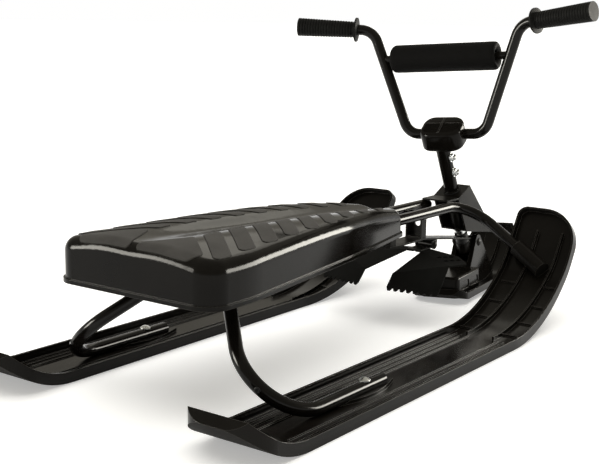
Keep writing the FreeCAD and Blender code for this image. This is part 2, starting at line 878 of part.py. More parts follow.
# Front ski in the straight-ahead position
front_tip_rad = math.radians(front_tip_angle)
front_centre = V(front_flat_end, 0, front_tip_radius + front_lift)
front_tail_centre = V(front_flat_start, 0, front_rear_radius + front_lift)
front_tail_rad = math.asin((front_flat_start - front_rear_x) / front_rear_radius)


def front_slab(low, high, half, trim):
    edges = []
    ends = []
    for o in (low, high):
        rt = front_rear_radius - o
        rf = front_tip_radius - o
        tail = front_tail_rad - trim / front_rear_radius
        tip = front_tip_rad - trim / front_tip_radius
        a = swing(front_tail_centre, rt, -tail)
        b = swing(front_tail_centre, rt, 0)
        c = swing(front_centre, rf, 0)
        d = swing(front_centre, rf, tip)
        edges.append(Part.Arc(a, swing(front_tail_centre, rt, -tail / 2), b).toShape())
        edges.append(Part.LineSegment(b, c).toShape())
        edges.append(Part.Arc(c, swing(front_centre, rf, tip / 2), d).toShape())
        ends.append((a, d))
    edges.append(Part.LineSegment(ends[0][0], ends[1][0]).toShape())
    edges.append(Part.LineSegment(ends[0][1], ends[1][1]).toShape())
    face = Part.Face(Part.Wire(Part.__sortEdges__(edges)))
    face.translate(V(0, -half, 0))
    return face.extrude(V(0, half + half, 0))


def front_blank(inset, low, high):
    half = front_width / 2 - inset
    body = front_slab(low, high, half, inset)
    x0 = front_rear_x + inset
    x1 = front_flat_end + front_tip_radius * math.sin(front_tip_rad) - inset
    points = [V(x0, -half, 0), V(x1, -half, 0), V(x1, half, 0), V(x0, half, 0)]
    r0 = front_corner - inset
    r1 = front_tip_corner - inset
    plan = rounded_face(points, [r0, r1, r1, r0]).extrude(V(0, 0, front_tip_radius))
    return body.common(plan)


def make_front_ski():
    ski = front_blank(0, 0, front_rim).cut(front_blank(front_wall, front_floor, front_rim + cut_margin))
    base_z = front_lift + front_floor / 2
    body_points = [V(body_rear_x, -body_half, base_z), V(body_front_x, -body_half, base_z),
                   V(body_front_x, body_half, base_z), V(body_rear_x, body_half, base_z)]
    corner = body_edge * 2
    block = rounded_face(body_points, [corner, corner, corner, corner])
    block = block.extrude(V(0, 0, body_height - base_z))
    top_edges = []
    for edge in block.Edges:
        if min(v.Z for v in edge.Vertexes) > body_height - gap:
            top_edges.append(edge)
    block = block.makeFillet(body_edge, top_edges)
    eye_x = cheek_eye * math.cos(lean_rad)
    eye_z = cheek_eye * math.sin(lean_rad)
    hump_points = [V(hump_rear_x, -hump_half, base_z), V(hump_foot_x, -hump_half, base_z),
                   V(hump_foot_x, -hump_half, base_z + nose_rib_height),
                   V(pivot_x + eye_x, -hump_half, pivot_z + eye_z),
                   V(pivot_x - eye_x, -hump_half, pivot_z + eye_z),
                   V(hump_rear_x, -hump_half, body_height)]
    hump = prism(hump_points, V(0, hump_half + hump_half, 0))
    eye = Part.makeCylinder(cheek_eye, hump_half + hump_half, V(pivot_x, -hump_half, pivot_z), side)
    rib = front_slab(front_floor / 2, front_floor + nose_rib_height, nose_rib_half, front_wall * 3)
    rib = rib.common(box(hump_foot_x - nose_rib_height * 4, hump_foot_x * 2, -nose_rib_half, nose_rib_half,
                         0, front_tip_radius))
    ski = ski.fuse(block.fuse(hump).fuse(eye).fuse(rib)).removeSplitter()
    slot_rear = on_axis(yoke_low).x - yoke_d
    slot = box(slot_rear, pivot_x + lug_radius + nose_rib_height, -slot_half, slot_half,
               slot_floor, pivot_z + pivot_z)
    ski = ski.cut(slot)
    bore_start = V(pivot_x, -front_width / 2, pivot_z)
    bore = Part.makeCylinder(pivot_d / 2 + bore_clear, front_width, bore_start, side)
    ski = ski.cut(bore)
    for sign in (-1, 1):
        y = sign * body_half
        x0 = body_rear_x + corner + body_edge
        z0 = front_lift + front_rim + body_edge / 2
        points = [V(x0, y, z0), V(x0 + panel_length, y, z0),
                  V(x0 + panel_length, y, z0 + panel_height), V(x0, y, z0 + panel_height)]
        panel = rounded_face(points, [panel_round] * 4).extrude(V(0, -sign * panel_depth, 0))
        ski = ski.cut(panel)
        panel.translate(V(panel_length + body_edge, 0, 0))
        ski = ski.cut(panel.common(box(0, body_front_x - body_edge, -front_width, front_width, 0, pivot_z)))
    return ski


def make_pivot_bolt():
    start = V(pivot_x, -hump_half - gap / 3, pivot_z)
    length = hump_half * 2 + pivot_d
    return dome_bolt(start, -side, pivot_d, length, pivot_d * pivot_head_share, pivot_d * pivot_rise_share)


def make_pivot_nut():
    start = V(pivot_x, hump_half + gap / 3, pivot_z)
    radius = pivot_d * pivot_head_share / 2
    points = []
    for i in range(6):
        turn = math.pi * i / 3
        points.append(start + V(radius * math.cos(turn), 0, radius * math.sin(turn)))
    nut = prism(points, V(0, pivot_d * nut_rise_share, 0))
    return nut.cut(Part.makeCylinder(pivot_d / 2 + bore_clear, pivot_d * 2, start - side * pivot_d, side))


# Seat: a moulded crowned shell with a centre valley, a lip and two rows of grip pads
def seat_plan(grow, z0, z1):
    side_points = [(seat_rear_x - grow, seat_half_rear + grow), (seat_wide_x, seat_half_rear + grow),
                   (seat_mid_x, seat_half_mid + grow), (seat_nose_x + grow, seat_half_nose + grow)]
    radii_half = [seat_rear_round + grow, seat_blend, seat_blend, seat_nose_round + grow]
    points = [V(x, y, z0) for x, y in side_points] + [V(x, -y, z0) for x, y in reversed(side_points)]
    radii = radii_half + list(reversed(radii_half))
    return rounded_face(points, radii).extrude(V(0, 0, z1 - z0))


def crown_section(x, raise_by):
    reach = seat_half_rear + crown_out
    share = min(1, max(0, (x - seat_rear_x - valley_start) / valley_run))
    valley = seat_valley * share * share * (3 - share - share)
    drops = [(-reach, seat_fall), (-(reach + seat_ridge) / 2, seat_fall * fall_share), (-seat_ridge, 0),
             (-seat_ridge * valley_side_share, valley * valley_drop_share), (0, valley)]
    drops = drops + [(-y, d) for y, d in reversed(drops[:-1])]
    top = seat_top - (x - seat_crown_x) * (x - seat_crown_x) / (seat_crown_radius * 2) + raise_by
    points = [V(x, y, top - d) for y, d in drops]
    curve = Part.BSplineCurve()
    curve.interpolate(points)
    a = points[0]
    b = points[-1]
    base_a = V(x, a.y, seat_low - seat_edge * 2)
    base_b = V(x, b.y, seat_low - seat_edge * 2)
    edges = [curve.toShape(), Part.LineSegment(b, base_b).toShape(),
             Part.LineSegment(base_b, base_a).toShape(), Part.LineSegment(base_a, a).toShape()]
    return Part.Wire(edges)


def seat_crown(raise_by):
    start = seat_rear_x - crown_out
    span = seat_nose_x + crown_out - start
    sections = []
    for i in range(crown_sections):
        sections.append(crown_section(start + span * i / (crown_sections - 1), raise_by))
    return Part.makeLoft(sections, True, False)


def seat_half_at(x):
    if x < seat_wide_x:
        return seat_half_rear
    if x < seat_mid_x:
        share = (x - seat_wide_x) / (seat_mid_x - seat_wide_x)
        return seat_half_rear + (seat_half_mid - seat_half_rear) * share
    share = (x - seat_mid_x) / (seat_nose_x - seat_mid_x)
    return seat_half_mid + (seat_half_nose - seat_half_mid) * share


def pad_faces(grow):
    sweep_tan = math.tan(math.radians(pad_sweep))
    faces = []
    corner = pad_corner + grow
    shoulder = pad_shoulder + grow
    for i in range(pad_count):
        x = pad_first_x + i * pad_pitch
        share = i / pad_count
        margin = pad_margin_rear + (pad_margin_front - pad_margin_rear) * min(1, share * 2)
        inner = pad_inner * (1 - share / 3)
        outer = seat_half_at(x - seat_half_rear / 3 * (1 - share)) - margin
        back = (outer - inner) * sweep_tan
        length = pad_long * (1 - share / 4)
        points = [V(x + grow, inner - grow, 0), V(x - back + grow, outer + grow, 0),
                  V(x - back - length - grow, outer + grow, 0), V(x - length - grow, inner - grow, 0)]
        wide = min(shoulder, (outer - inner) / 3)
        faces.append(rounded_face(points, [corner, wide, corner, corner]))
    outer = seat_half_rear - pad_margin_rear
    x = pad_first_x - pad_pitch
    bulge = V(big_pad_rear_x - big_pad_bulge - grow, seat_half_rear * big_pad_bulge_share, 0)
    tip = V(big_pad_rear_x - big_pad_tip_back - grow, pad_inner * big_pad_tip_share - grow, 0)
    points = [V(x + grow, pad_inner - grow, 0), V(big_pad_rear_x - grow, outer + grow, 0), bulge, tip]
    faces.append(rounded_face(points, [corner, shoulder, shoulder, corner]))
    return faces


def round_rim(block, radius):
    rim = []
    for edge in block.Edges:
        middle = edge.valueAt((edge.FirstParameter + edge.LastParameter) / 2)
        low_end = min([v.Z for v in edge.Vertexes] + [middle.z])
        if low_end > seat_low + seat_edge / 3:
            rim.append(edge)
    return block.makeFillet(radius, rim)


def seat_block(grow):
    block = seat_plan(grow, seat_low, seat_top * 2).common(seat_crown(grow))
    return round_rim(block, seat_edge + grow)


def pad_columns(grow):
    return [face.extrude(V(0, 0, seat_top * 2)) for face in pad_faces(grow)]


bracket_z = tube_height + tube_r + gap / 2
bracket_rear_half = seat_half_at(seat_bracket_rear_x) * bracket_rear_share
bracket_front_half = seat_half_at(seat_bracket_front_x) * bracket_front_share
boss_spots = []
bracket_places = ((seat_bracket_rear_x, bracket_rear_half), (seat_bracket_front_x, bracket_front_half))
for spot_x, spot_half in bracket_places:
    for spot_sign in (-1, 1):
        boss_spots.append(V(spot_x, spot_sign * (spot_half - boss_d), bracket_z + bracket_t))


def make_seat_shell():
    shell = seat_block(0)
    lip = seat_plan(lip_out, seat_low - lip_height / 3, seat_low + lip_height)
    shell = shell.fuse(lip).removeSplitter()
    hollow = seat_plan(-seat_wall, seat_low - seat_edge, seat_top * 2).common(seat_crown(-seat_roof))
    hollow = round_rim(hollow, hollow_edge)
    for spot in boss_spots:
        hollow = hollow.cut(Part.makeCylinder(boss_d / 2, seat_top, spot, up))
    shell = shell.cut(hollow)
    for spot in boss_spots:
        depth = seat_screw_d * 2
        shell = shell.cut(Part.makeCylinder(seat_screw_d / 2 + bore_clear, depth, spot, up))
    for sign in (-1, 1):
        start = V(seat_nose_x - seat_nose_round * 2, sign * tube_y, tube_height)
        end = V(seat_nose_x + seat_nose_round, sign * tube_y, tube_height)
        shell = shell.cut(cylinder(start, end, tube_r + gap))
        drop = box(start.x, end.x, start.y - tube_r - gap, start.y + tube_r + gap,
                   seat_low - seat_edge, tube_height)
        shell = shell.cut(drop)
    core = seat_block(-pad_sunk)
    for column in pad_columns(pad_fit):
        recess = column.cut(core)
        shell = shell.cut(recess).cut(mirrored(recess))
    return shell


def make_seat_pads():
    over = seat_block(pad_proud)
    core = seat_block(-pad_sunk)
    return [column.common(over).cut(core) for column in pad_columns(0)]


def make_seat_bracket(x, half):
    x0 = x - bracket_length / 2
    x1 = x + bracket_length / 2
    plate = box(x0, x1, -half, half, bracket_z, bracket_z + bracket_t)
    for sign in (-1, 1):
        y0 = sign * (tube_y - tube_r - gap / 2)
        y1 = y0 - sign * bracket_t
        skirt = box(x0, x1, min(y0, y1), max(y0, y1), tube_height - tube_r / 2, bracket_z)
        plate = plate.fuse(skirt)
        spot = V(x, sign * (half - boss_d), bracket_z - tube_r)
        plate = plate.cut(Part.makeCylinder(seat_screw_d / 2 + bore_clear * 4, tube_d, spot, up))
    return plate.removeSplitter()


def make_seat_screws():
    screws = []
    for spot in boss_spots:
        base = spot - up * (bracket_t)
        length = bracket_t + seat_screw_d * screw_grip_share
        rise = seat_screw_d * screw_rise_share
        screws.append(dome_bolt(base, -up, seat_screw_d, length, seat_screw_d * 2, rise))
    return screws


# Lower strap, hangers and brake
strap_front = on_axis((strap_bush_low + strap_bush_high) / 2)
strap_turn = V(hanger_front_x, 0, strap_z)


def make_strap():
    rear = V(strap_rear_x, -strap_half, strap_z)
    turn = strap_turn - side * strap_half
    slope = strap_front - strap_turn
    slope.normalize()
    front = strap_front - side * strap_half
    down = V(0, 0, -strap_t)
    strap = prism([rear, turn, front, front + down, turn + down, rear + down], V(0, strap_half * 2, 0))
    nose = Part.makeCylinder(strap_half, strap_t, strap_front + down, up)
    strap = strap.fuse(nose).removeSplitter()
    hole = cylinder(on_axis(strap_bush_low - tube_d), on_axis(strap_bush_high + tube_d), strap_bush_d / 2)
    return strap.cut(hole)


def make_hanger(x, notched):
    top = tube_height
    plate = box(x, x + plate_t, -hanger_half, hanger_half, strap_z, top)
    foot = box(x - hanger_flange, x, -hanger_half, hanger_half, strap_z, strap_z + plate_t)
    for sign in (-1, 1):
        y0 = sign * hanger_half
        y1 = y0 - sign * plate_t
        wing = box(x - hanger_flange, x + plate_t, min(y0, y1), max(y0, y1), strap_z, top)
        plate = plate.fuse(wing)
    plate = plate.fuse(foot).removeSplitter()
    if notched:
        centre = V(x - plate_t, 0, top - notch_depth)
        slot = Part.makeCylinder(notch_half, plate_t * 3, centre, ahead)
        mouth = box(x - plate_t, x + plate_t * 2, -notch_half, notch_half, centre.z, top + plate_t)
        slot = slot.fuse(mouth)
        plate = plate.cut(slot)
    return plate


def strap_under(x):
    share = max(0, (x - strap_turn.x) / (strap_front.x - strap_turn.x))
    return strap_z - strap_t + (strap_front.z - strap_turn.z) * share


brake_z = strap_under(brake_x + ear_radius) - ear_radius - gap
brake_point = V(brake_x, 0, brake_z)


def make_brake_bracket():
    pieces = []
    top = strap_under(brake_x + ear_radius)
    for sign in (-1, 1):
        y0 = sign * ear_half
        y1 = sign * (ear_half + ear_t)
        low = min(y0, y1)
        ear = Part.makeCylinder(ear_radius, ear_t, V(brake_x, low, brake_z), side)
        web = box(brake_x - ear_radius, brake_x + ear_radius, low, low + ear_t, brake_z, top)
        pieces.append(ear.fuse(web))
    bracket = fuse_all(pieces)
    half = ear_half + ear_t
    plate = box(brake_x - ear_radius, brake_x + ear_radius, -half, half, top - ear_t / 2, top)
    bracket = bracket.fuse(plate).removeSplitter()
    reach = ear_half * 4
    bore = Part.makeCylinder(axle_d / 2 + bore_clear, reach, brake_point - side * (reach / 2), side)
    return bracket.cut(bore)


def make_brake_axle():
    half = ear_half + ear_t + gap
    axle = Part.makeCylinder(axle_d / 2, half * 2, brake_point - side * half, side)
    for sign in (-1, 1):
        head = dome_bolt(brake_point + side * (sign * half), side * sign, axle_d, axle_d / 2,
                         axle_d * axle_head_share, axle_d * axle_rise_share)
        axle = axle.fuse(head)
    return axle.removeSplitter()


# Brake blades: one pressed sheet a side, a swept tread wing and a toothed drag plate
hub_plate_z = brake_z - hub_d / 2 + brake_sheet
wing_z = hub_plate_z - brake_sheet
blade_bottom_z = wing_z - blade_drop


def wing_spot(back, half):
    return V(brake_x - back, half, 0)


wing_front = wing_spot(wing_front_back, wing_root_half)
wing_shoulder = wing_spot(wing_shoulder_back, wing_shoulder_half)
wing_tip = wing_spot(wing_tip_back, wing_tip_half)
wing_rear = wing_spot(wing_rear_back, wing_rear_half)
wing_inner = wing_spot(wing_root_back, wing_inner_half)
wing_root = wing_spot(wing_root_back, wing_root_half)


def raised(point, z):
    return V(point.x, point.y, z)


def sheet(points):
    normal = (points[1] - points[0]).cross(points[2] - points[0])
    normal.normalize()
    half = normal * (brake_sheet / 2)
    return prism([p - half for p in points], half * 2)


def lap_over(a, b, inside):
    along = b - a
    along.normalize()
    outward = a - inside
    outward = outward - along * outward.dot(along)
    outward.normalize()
    return outward * (brake_sheet / 2)


def make_brake_blade():
    top = wing_z
    outline = [wing_front, wing_shoulder, wing_tip, wing_rear, wing_inner, wing_root]
    soft = brake_sheet * 4
    face = rounded_face([raised(p, top) for p in outline], [brake_sheet, soft, soft, 0, 0, 0])
    blade = face.extrude(V(0, 0, -brake_sheet))
    turn = math.radians(tread_turn)
    along = V(-math.sin(turn), math.cos(turn), 0)
    across = V(along.y, -along.x, 0)
    holes = []
    for row in range(tread_rows):
        for column in range(tread_columns):
            spot = wing_spot(tread_back, tread_half) + along * (row * tread_pitch_along)
            spot = spot + across * (column * tread_pitch_across)
            low = raised(spot, top - brake_sheet / 2)
            rim_height = brake_sheet / 2 + tread_rim_height
            blade = blade.fuse(Part.makeCylinder(tread_rim_d / 2, rim_height, low, up))
            start = raised(spot, top - brake_sheet * 2)
            holes.append(Part.makeCylinder(tread_hole_d / 2, brake_sheet * 4, start, up))
    for hole in holes:
        blade = blade.cut(hole)
    fold_z = blade_bottom_z + (top - blade_bottom_z) * blade_fold_share
    mid = top - brake_sheet / 2
    inner_top = raised(wing_inner, mid)
    outer_top = raised(wing_rear, mid)
    fold = raised(wing_spot(blade_fold_back, blade_inner_half), fold_z)
    inner_low = raised(wing_spot(blade_inner_back, blade_inner_half), blade_bottom_z)
    outer_low = raised(wing_spot(blade_outer_back, blade_outer_half), blade_bottom_z)
    across_line = outer_low - inner_low
    rise = (fold - inner_low) * (tooth_depth / (fold - inner_low).Length)
    edge = []
    for i in range(blade_teeth):
        edge.append(inner_low + across_line * (i / blade_teeth) + rise)
        for share in tooth_flat_shares:
            edge.append(inner_low + across_line * ((i + share) / blade_teeth))
    edge.append(outer_low + rise)
    normal = (outer_top - fold).cross(inner_low - fold)
    normal.normalize()
    flat = []
    for point in edge:
        flat.append(point - normal * ((point - fold).dot(normal)))
    lap = lap_over(inner_top, outer_top, fold)
    upper = sheet([inner_top + lap, outer_top + lap, fold])
    lap = lap_over(fold, outer_top, inner_low)
    drag = sheet([fold + lap] + flat + [outer_top + lap])
    return blade.fuse(upper).fuse(drag)


def make_brake_hub():
    ends = (brake_point - side * hub_half, brake_point + side * hub_half)
    tube = ring(ends[0], ends[1], hub_d / 2, axle_d / 2 + bore_clear)
    plate = box(wing_root.x, brake_x, -hub_half, hub_half, wing_z, wing_z + brake_sheet)
    core = Part.makeCylinder(axle_d / 2 + bore_clear, hub_half * 4, brake_point - side * hub_half * 2, side)
    return tube.fuse(plate).removeSplitter().cut(core)


rivet_x = wing_root.x + rivet_margin
rivet_y = hub_half / 2


def make_brake_rivets():
    rivets = []
    for sign in (-1, 1):
        for i in range(2):
            spot = V(rivet_x + i * rivet_pitch, sign * rivet_y, wing_z + brake_sheet)
            length = brake_sheet * 2 + rivet_d / 5
            rivets.append(dome_bolt(spot, up, rivet_d * rivet_shank_share, length, rivet_d, rivet_d / 4))
    return rivets


def drill_rivets(shape):
    for rivet in make_brake_rivets():
        box_centre = rivet.BoundBox.Center
        spot = V(box_centre.x, box_centre.y, wing_z - brake_sheet * 2)
        radius = rivet_d * rivet_shank_share / 2 + bore_clear
        shape = shape.cut(Part.makeCylinder(radius, brake_sheet * 5, spot, up))
    return shape


# Assembly
def turned(shape):
    copy = shape.copy()
    copy.rotate(head_point, axis_dir, rest_turn)
    return copy


half_length = (front_flat_end + front_tip_radius * math.sin(front_tip_rad) + tail_x) / 2


def keep(name, shape):
    placed = shape.copy()
    placed.translate(V(-half_length, 0, 0))
    nodes[name] = placed


def group(shapes):
    return Part.makeCompound(list(shapes))


ski = make_ski()
main_tube = make_main_tube()
leg_tube = make_leg_tube()
spigot = make_spigot()
ski_bolt = make_ski_bolt()
keep("ski_left", ski)
keep("ski_right", mirrored(ski))
keep("frame_tube_left", main_tube)
keep("frame_tube_right", mirrored(main_tube))
keep("leg_tube_left", leg_tube)
keep("leg_tube_right", mirrored(leg_tube))
keep("tube_spigots", group([spigot, mirrored(spigot)]))
keep("ski_bolts", group([ski_bolt, mirrored(ski_bolt)]))
keep("head_bracket", make_head_bracket())
keep("head_tube", make_head_tube())
keep("bush_upper", make_bush(head_top, 1))
keep("bush_lower", make_bush(head_bottom - plate_t, -1))
keep("lower_strap", make_strap())
keep("strap_bush", axis_ring(strap_bush_low, strap_bush_high, strap_bush_d, shaft_d + bore_clear * 2))
keep("hanger_rear", make_hanger(hanger_rear_x, False))
keep("hanger_front", make_hanger(hanger_front_x, True))
keep("brake_bracket", make_brake_bracket())
keep("brake_axle", make_brake_axle())
keep("seat_shell", make_seat_shell())
pads = make_seat_pads()
keep("seat_pads_left", group(pads))
keep("seat_pads_right", group([mirrored(p) for p in pads]))
keep("seat_bracket_rear", make_seat_bracket(seat_bracket_rear_x, bracket_rear_half))
keep("seat_bracket_front", make_seat_bracket(seat_bracket_front_x, bracket_front_half))
keep("seat_screws", group(make_seat_screws()))

keep("steering_shaft", turned(make_shaft()))
keep("steering_column", turned(make_column()))
keep("column_screws", turned(group(make_column_screws())))
keep("thrust_washer", turned(axis_ring(washer_low, column_low, bush_flange_d, shaft_d)))
keep("shaft_collar", turned(axis_ring(collar_low, collar_high, collar_d, shaft_d)))
keep("shaft_sleeve", turned(axis_ring(sleeve_low, collar_low, sleeve_d, shaft_d)))
keep("ski_yoke", turned(make_yoke()))
keep("handlebar", turned(make_handlebar()))
keep("crossbar", turned(make_crossbar()))
keep("crossbar_pad", turned(make_crossbar_pad()))
grip = make_grip()
keep("grip_left", turned(grip))
keep("grip_right", turned(mirrored(grip)))
keep("stem_clamp", turned(make_stem_clamp()))
cover_front, cover_rear = make_stem_covers()
keep("stem_cover_front", turned(cover_front))
keep("stem_cover_rear", turned(cover_rear))

keep("front_ski", turned(make_front_ski()))
keep("pivot_bolt", turned(make_pivot_bolt()))
keep("pivot_nut", turned(make_pivot_nut()))

blade = make_brake_blade()
keep("brake_blade_left", drill_rivets(blade))
keep("brake_blade_right", drill_rivets(mirrored(blade)))
keep("brake_hub", drill_rivets(make_brake_hub()))
keep("brake_rivets", group(make_brake_rivets()))

for name, shape in nodes.items():
    shape.exportStep("parts/" + name + ".step")
    kind = "ok" if shape.isValid() else "INVALID"
    print(name, kind, len(shape.Solids), round(shape.Volume))
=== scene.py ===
# %% [markdown]
# # A steering sled, finished in Blender
# The sled's solids come from CAD as a fixed frame that never moves. This lesson gives each solid its
# finish, makes the soft pad of the crossbar and a few small moulded and folded pieces as meshes, and
# lights the sled like the photograph. Lengths are in metres, X points forward, Y to the rider's left
# and Z up.

# %% Load the frame
import json
import math

import bmesh
import bpy
import numpy
from mathutils import Matrix, Vector


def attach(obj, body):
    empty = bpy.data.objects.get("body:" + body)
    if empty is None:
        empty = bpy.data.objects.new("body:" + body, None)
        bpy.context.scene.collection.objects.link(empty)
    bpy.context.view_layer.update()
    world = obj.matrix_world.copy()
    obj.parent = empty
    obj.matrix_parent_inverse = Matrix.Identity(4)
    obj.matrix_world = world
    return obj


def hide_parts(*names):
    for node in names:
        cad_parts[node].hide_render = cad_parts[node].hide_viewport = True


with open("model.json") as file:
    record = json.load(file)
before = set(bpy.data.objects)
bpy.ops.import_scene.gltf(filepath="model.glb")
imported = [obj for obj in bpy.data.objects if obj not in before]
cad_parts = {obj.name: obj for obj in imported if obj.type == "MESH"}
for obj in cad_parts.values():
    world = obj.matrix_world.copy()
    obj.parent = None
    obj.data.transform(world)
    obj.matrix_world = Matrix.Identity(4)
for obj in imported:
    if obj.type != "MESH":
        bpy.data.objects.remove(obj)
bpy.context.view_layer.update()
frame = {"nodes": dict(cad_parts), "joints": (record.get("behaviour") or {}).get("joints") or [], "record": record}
nodes = frame["nodes"]
joints = {joint["name"]: joint for joint in frame["joints"]}
scene = bpy.context.scene

# %% [markdown]
# ## Camera
# The photograph was taken from behind and to the right of the sled, a little above the seat, with a
# long lens. A camera can be placed by eye, but here its spot, heading and lens were worked out from
# points of the two skis, the bar and the tubes, so that the render can be laid over the photograph.

# %% Camera
camera_spot = Vector((-1.49196, -1.0089, 0.5054))
camera_heading = math.radians(36.60)
camera_dip = math.radians(10.80)
camera_roll = math.radians(-0.78)
photo_width = 599
focal_pixels = 1140.1
sensor_width = 36.0
sight_end = 100

ahead = Vector((
    math.cos(camera_heading) * math.cos(camera_dip),
    math.sin(camera_heading) * math.cos(camera_dip),
    -math.sin(camera_dip),
))
level_right = Vector((math.sin(camera_heading), -math.cos(camera_heading), 0))
level_down = ahead.cross(level_right)
image_right = level_right * math.cos(camera_roll) + level_down * math.sin(camera_roll)
image_down = level_down * math.cos(camera_roll) - level_right * math.sin(camera_roll)
camera_turn = Matrix((image_right, -image_down, -ahead)).transposed()

camera_data = bpy.data.cameras.new("photo_camera")
camera_data.sensor_fit = "HORIZONTAL"
camera_data.sensor_width = sensor_width
camera_data.lens = sensor_width * focal_pixels / photo_width
camera_data.clip_end = sight_end
camera = bpy.data.objects.new("photo_camera", camera_data)
camera.matrix_world = Matrix.Translation(camera_spot) @ camera_turn.to_4x4()
scene.collection.objects.link(camera)
scene.camera = camera
scene.view_settings.view_transform = "Standard"
print("camera: lens", round(camera_data.lens, 2), "mm")

# %% [markdown]
# ## Node helpers
# Every finish below is a small network of shader nodes. It could be wired by hand in the editor. These
# helpers add one node with its settings and join two sockets instead, so that each material reads as a
# short list of what lies on the surface.

# %% Node helpers
def add_node(tree, kind, settings=None, values=None):
    made = tree.nodes.new(kind)
    for name, setting in (settings or {}).items():
        setattr(made, name, setting)
    for name, value in (values or {}).items():
        made.inputs[name].default_value = value
    return made


def join(tree, source, output, target, entry):
    tree.links.new(source.outputs[output], target.inputs[entry])


def math_node(tree, operation, first, second=None, clamp=False):
    made = add_node(tree, "ShaderNodeMath", {"operation": operation, "use_clamp": clamp})
    for index, part in enumerate((first, second)):
        if part is None:
            continue
        if isinstance(part, (int, float)):
            made.inputs[index].default_value = part
        else:
            tree.links.new(part, made.inputs[index])
    return made.outputs["Value"]


print("node helpers ready")

# %% [markdown]
# ## Node groups
# Grain, scratches and soft edges come back in many materials. Copying their nodes would make each
# material long, so each effect is a node group with named inputs and outputs, placed where it is needed.

# %% Helper for node groups
FLOAT = "NodeSocketFloat"
VECTOR = "NodeSocketVector"


def new_group(name, inputs, outputs):
    group = bpy.data.node_groups.new(name, "ShaderNodeTree")
    for label, kind, value in inputs:
        socket = group.interface.new_socket(name=label, in_out="INPUT", socket_type=kind)
        if value is not None:
            socket.default_value = value
    for label, kind in outputs:
        group.interface.new_socket(name=label, in_out="OUTPUT", socket_type=kind)
    return group, group.nodes.new("NodeGroupInput"), group.nodes.new("NodeGroupOutput")


print("group helper ready")

# %% [markdown]
# ## Softened edges
# No edge of a moulded or painted piece is knife sharp. The solids are fixed, so their edges can't be
# bevelled in the mesh. The bevel node bends the surface's normal near an edge instead, and the
# difference between the bent and the true normal is a mask of the edges. There the colour is painted
# brighter, as rubbed paint and plastic and as a painted highlight of the light that the edges catch.

# %% Group: softened edges
edge_samples = 4
edge_gain = 4.0


def make_edge_group():
    group, given, result = new_group(
        "softened_edges",
        [("Radius", FLOAT, 0.001)],
        [("Normal", VECTOR), ("Edge", FLOAT)],
    )
    bevel = add_node(group, "ShaderNodeBevel", {"samples": edge_samples})
    join(group, given, "Radius", bevel, "Radius")
    geometry = add_node(group, "ShaderNodeNewGeometry")
    alike = add_node(group, "ShaderNodeVectorMath", {"operation": "DOT_PRODUCT"})
    join(group, bevel, "Normal", alike, 0)
    join(group, geometry, "Normal", alike, 1)
    apart = math_node(group, "SUBTRACT", 1.0, alike.outputs["Value"], clamp=True)
    edge = math_node(group, "MULTIPLY", apart, edge_gain, clamp=True)
    join(group, bevel, "Normal", result, "Normal")
    group.links.new(edge, result.inputs["Edge"])
    return group


edge_group = make_edge_group()
print("group:", edge_group.name)

# %% [markdown]
# ## Moulded grain
# Injection-moulded plastic shows the fine spark-eroded grain of its mould. A picture of grain would need
# a UV map on every solid, and noise in the object's own space needs none. A fine noise and small cells
# make the height, and a much larger noise makes patches where handling has polished the surface.

# %% Group: moulded grain
patch_low = 0.35
patch_high = 0.65


def make_grain_group():
    group, given, result = new_group(
        "moulded_grain",
        [("Vector", VECTOR, None), ("Grain Scale", FLOAT, 900.0), ("Patch Scale", FLOAT, 14.0)],
        [("Height", FLOAT), ("Patch", FLOAT), ("Speckle", FLOAT)],
    )
    fine = add_node(group, "ShaderNodeTexNoise", None, {"Detail": 2.0, "Roughness": 0.6})
    cells = add_node(group, "ShaderNodeTexVoronoi", {"feature": "F1"})
    patch = add_node(group, "ShaderNodeTexNoise", None, {"Detail": 4.0, "Roughness": 0.55})
    for texture, scale in ((fine, "Grain Scale"), (cells, "Grain Scale"), (patch, "Patch Scale")):
        join(group, given, "Vector", texture, "Vector")
        join(group, given, scale, texture, "Scale")
    height = math_node(group, "ADD", fine.outputs["Fac"], cells.outputs["Distance"])
    spread = add_node(group, "ShaderNodeMapRange", None, {"From Min": patch_low, "From Max": patch_high})
    join(group, patch, "Fac", spread, "Value")
    group.links.new(height, result.inputs["Height"])
    join(group, spread, "Result", result, "Patch")
    join(group, fine, "Fac", result, "Speckle")
    return group


grain_group = make_grain_group()
print("group:", grain_group.name)

# %% [markdown]
# ## Fine scratches
# Snow with grit in it leaves hair-fine scratches along the sled. Cut into the mesh they would cost many
# faces, so a noise is drawn out along X and cut to its thin crests. The lines only change the gloss.

# %% Group: fine scratches
scratch_stretch = (0.06, 1.0, 1.0)
scratch_lean = (0.0, 0.0, 0.12)
crest_low = 0.58
crest_high = 0.66


def make_scratch_group():
    group, given, result = new_group(
        "fine_scratches",
        [("Vector", VECTOR, None), ("Scale", FLOAT, 420.0)],
        [("Scratch", FLOAT)],
    )
    drawn_out = add_node(
        group, "ShaderNodeMapping", None, {"Scale": scratch_stretch, "Rotation": scratch_lean})
    join(group, given, "Vector", drawn_out, "Vector")
    lines = add_node(group, "ShaderNodeTexNoise", None, {"Detail": 6.0, "Roughness": 0.7})
    join(group, drawn_out, "Vector", lines, "Vector")
    join(group, given, "Scale", lines, "Scale")
    crest = add_node(group, "ShaderNodeMapRange", None, {"From Min": crest_low, "From Max": crest_high})
    join(group, lines, "Fac", crest, "Value")
    join(group, crest, "Result", result, "Scratch")
    return group


scratch_group = make_scratch_group()
print("group:", scratch_group.name)

# %% [markdown]
# ## Material helpers
# Every material starts from Blender's own surface shader. The same steps come back in most of them: making
# the material, placing a group on the object's own space and mixing two colours. Written once here, they
# leave only what is special to a finish in its own cell.

# %% Material helpers
def new_material(name):
    material = bpy.data.materials.new(name)
    material.use_nodes = True
    tree = material.node_tree
    return material, tree, tree.nodes["Principled BSDF"]


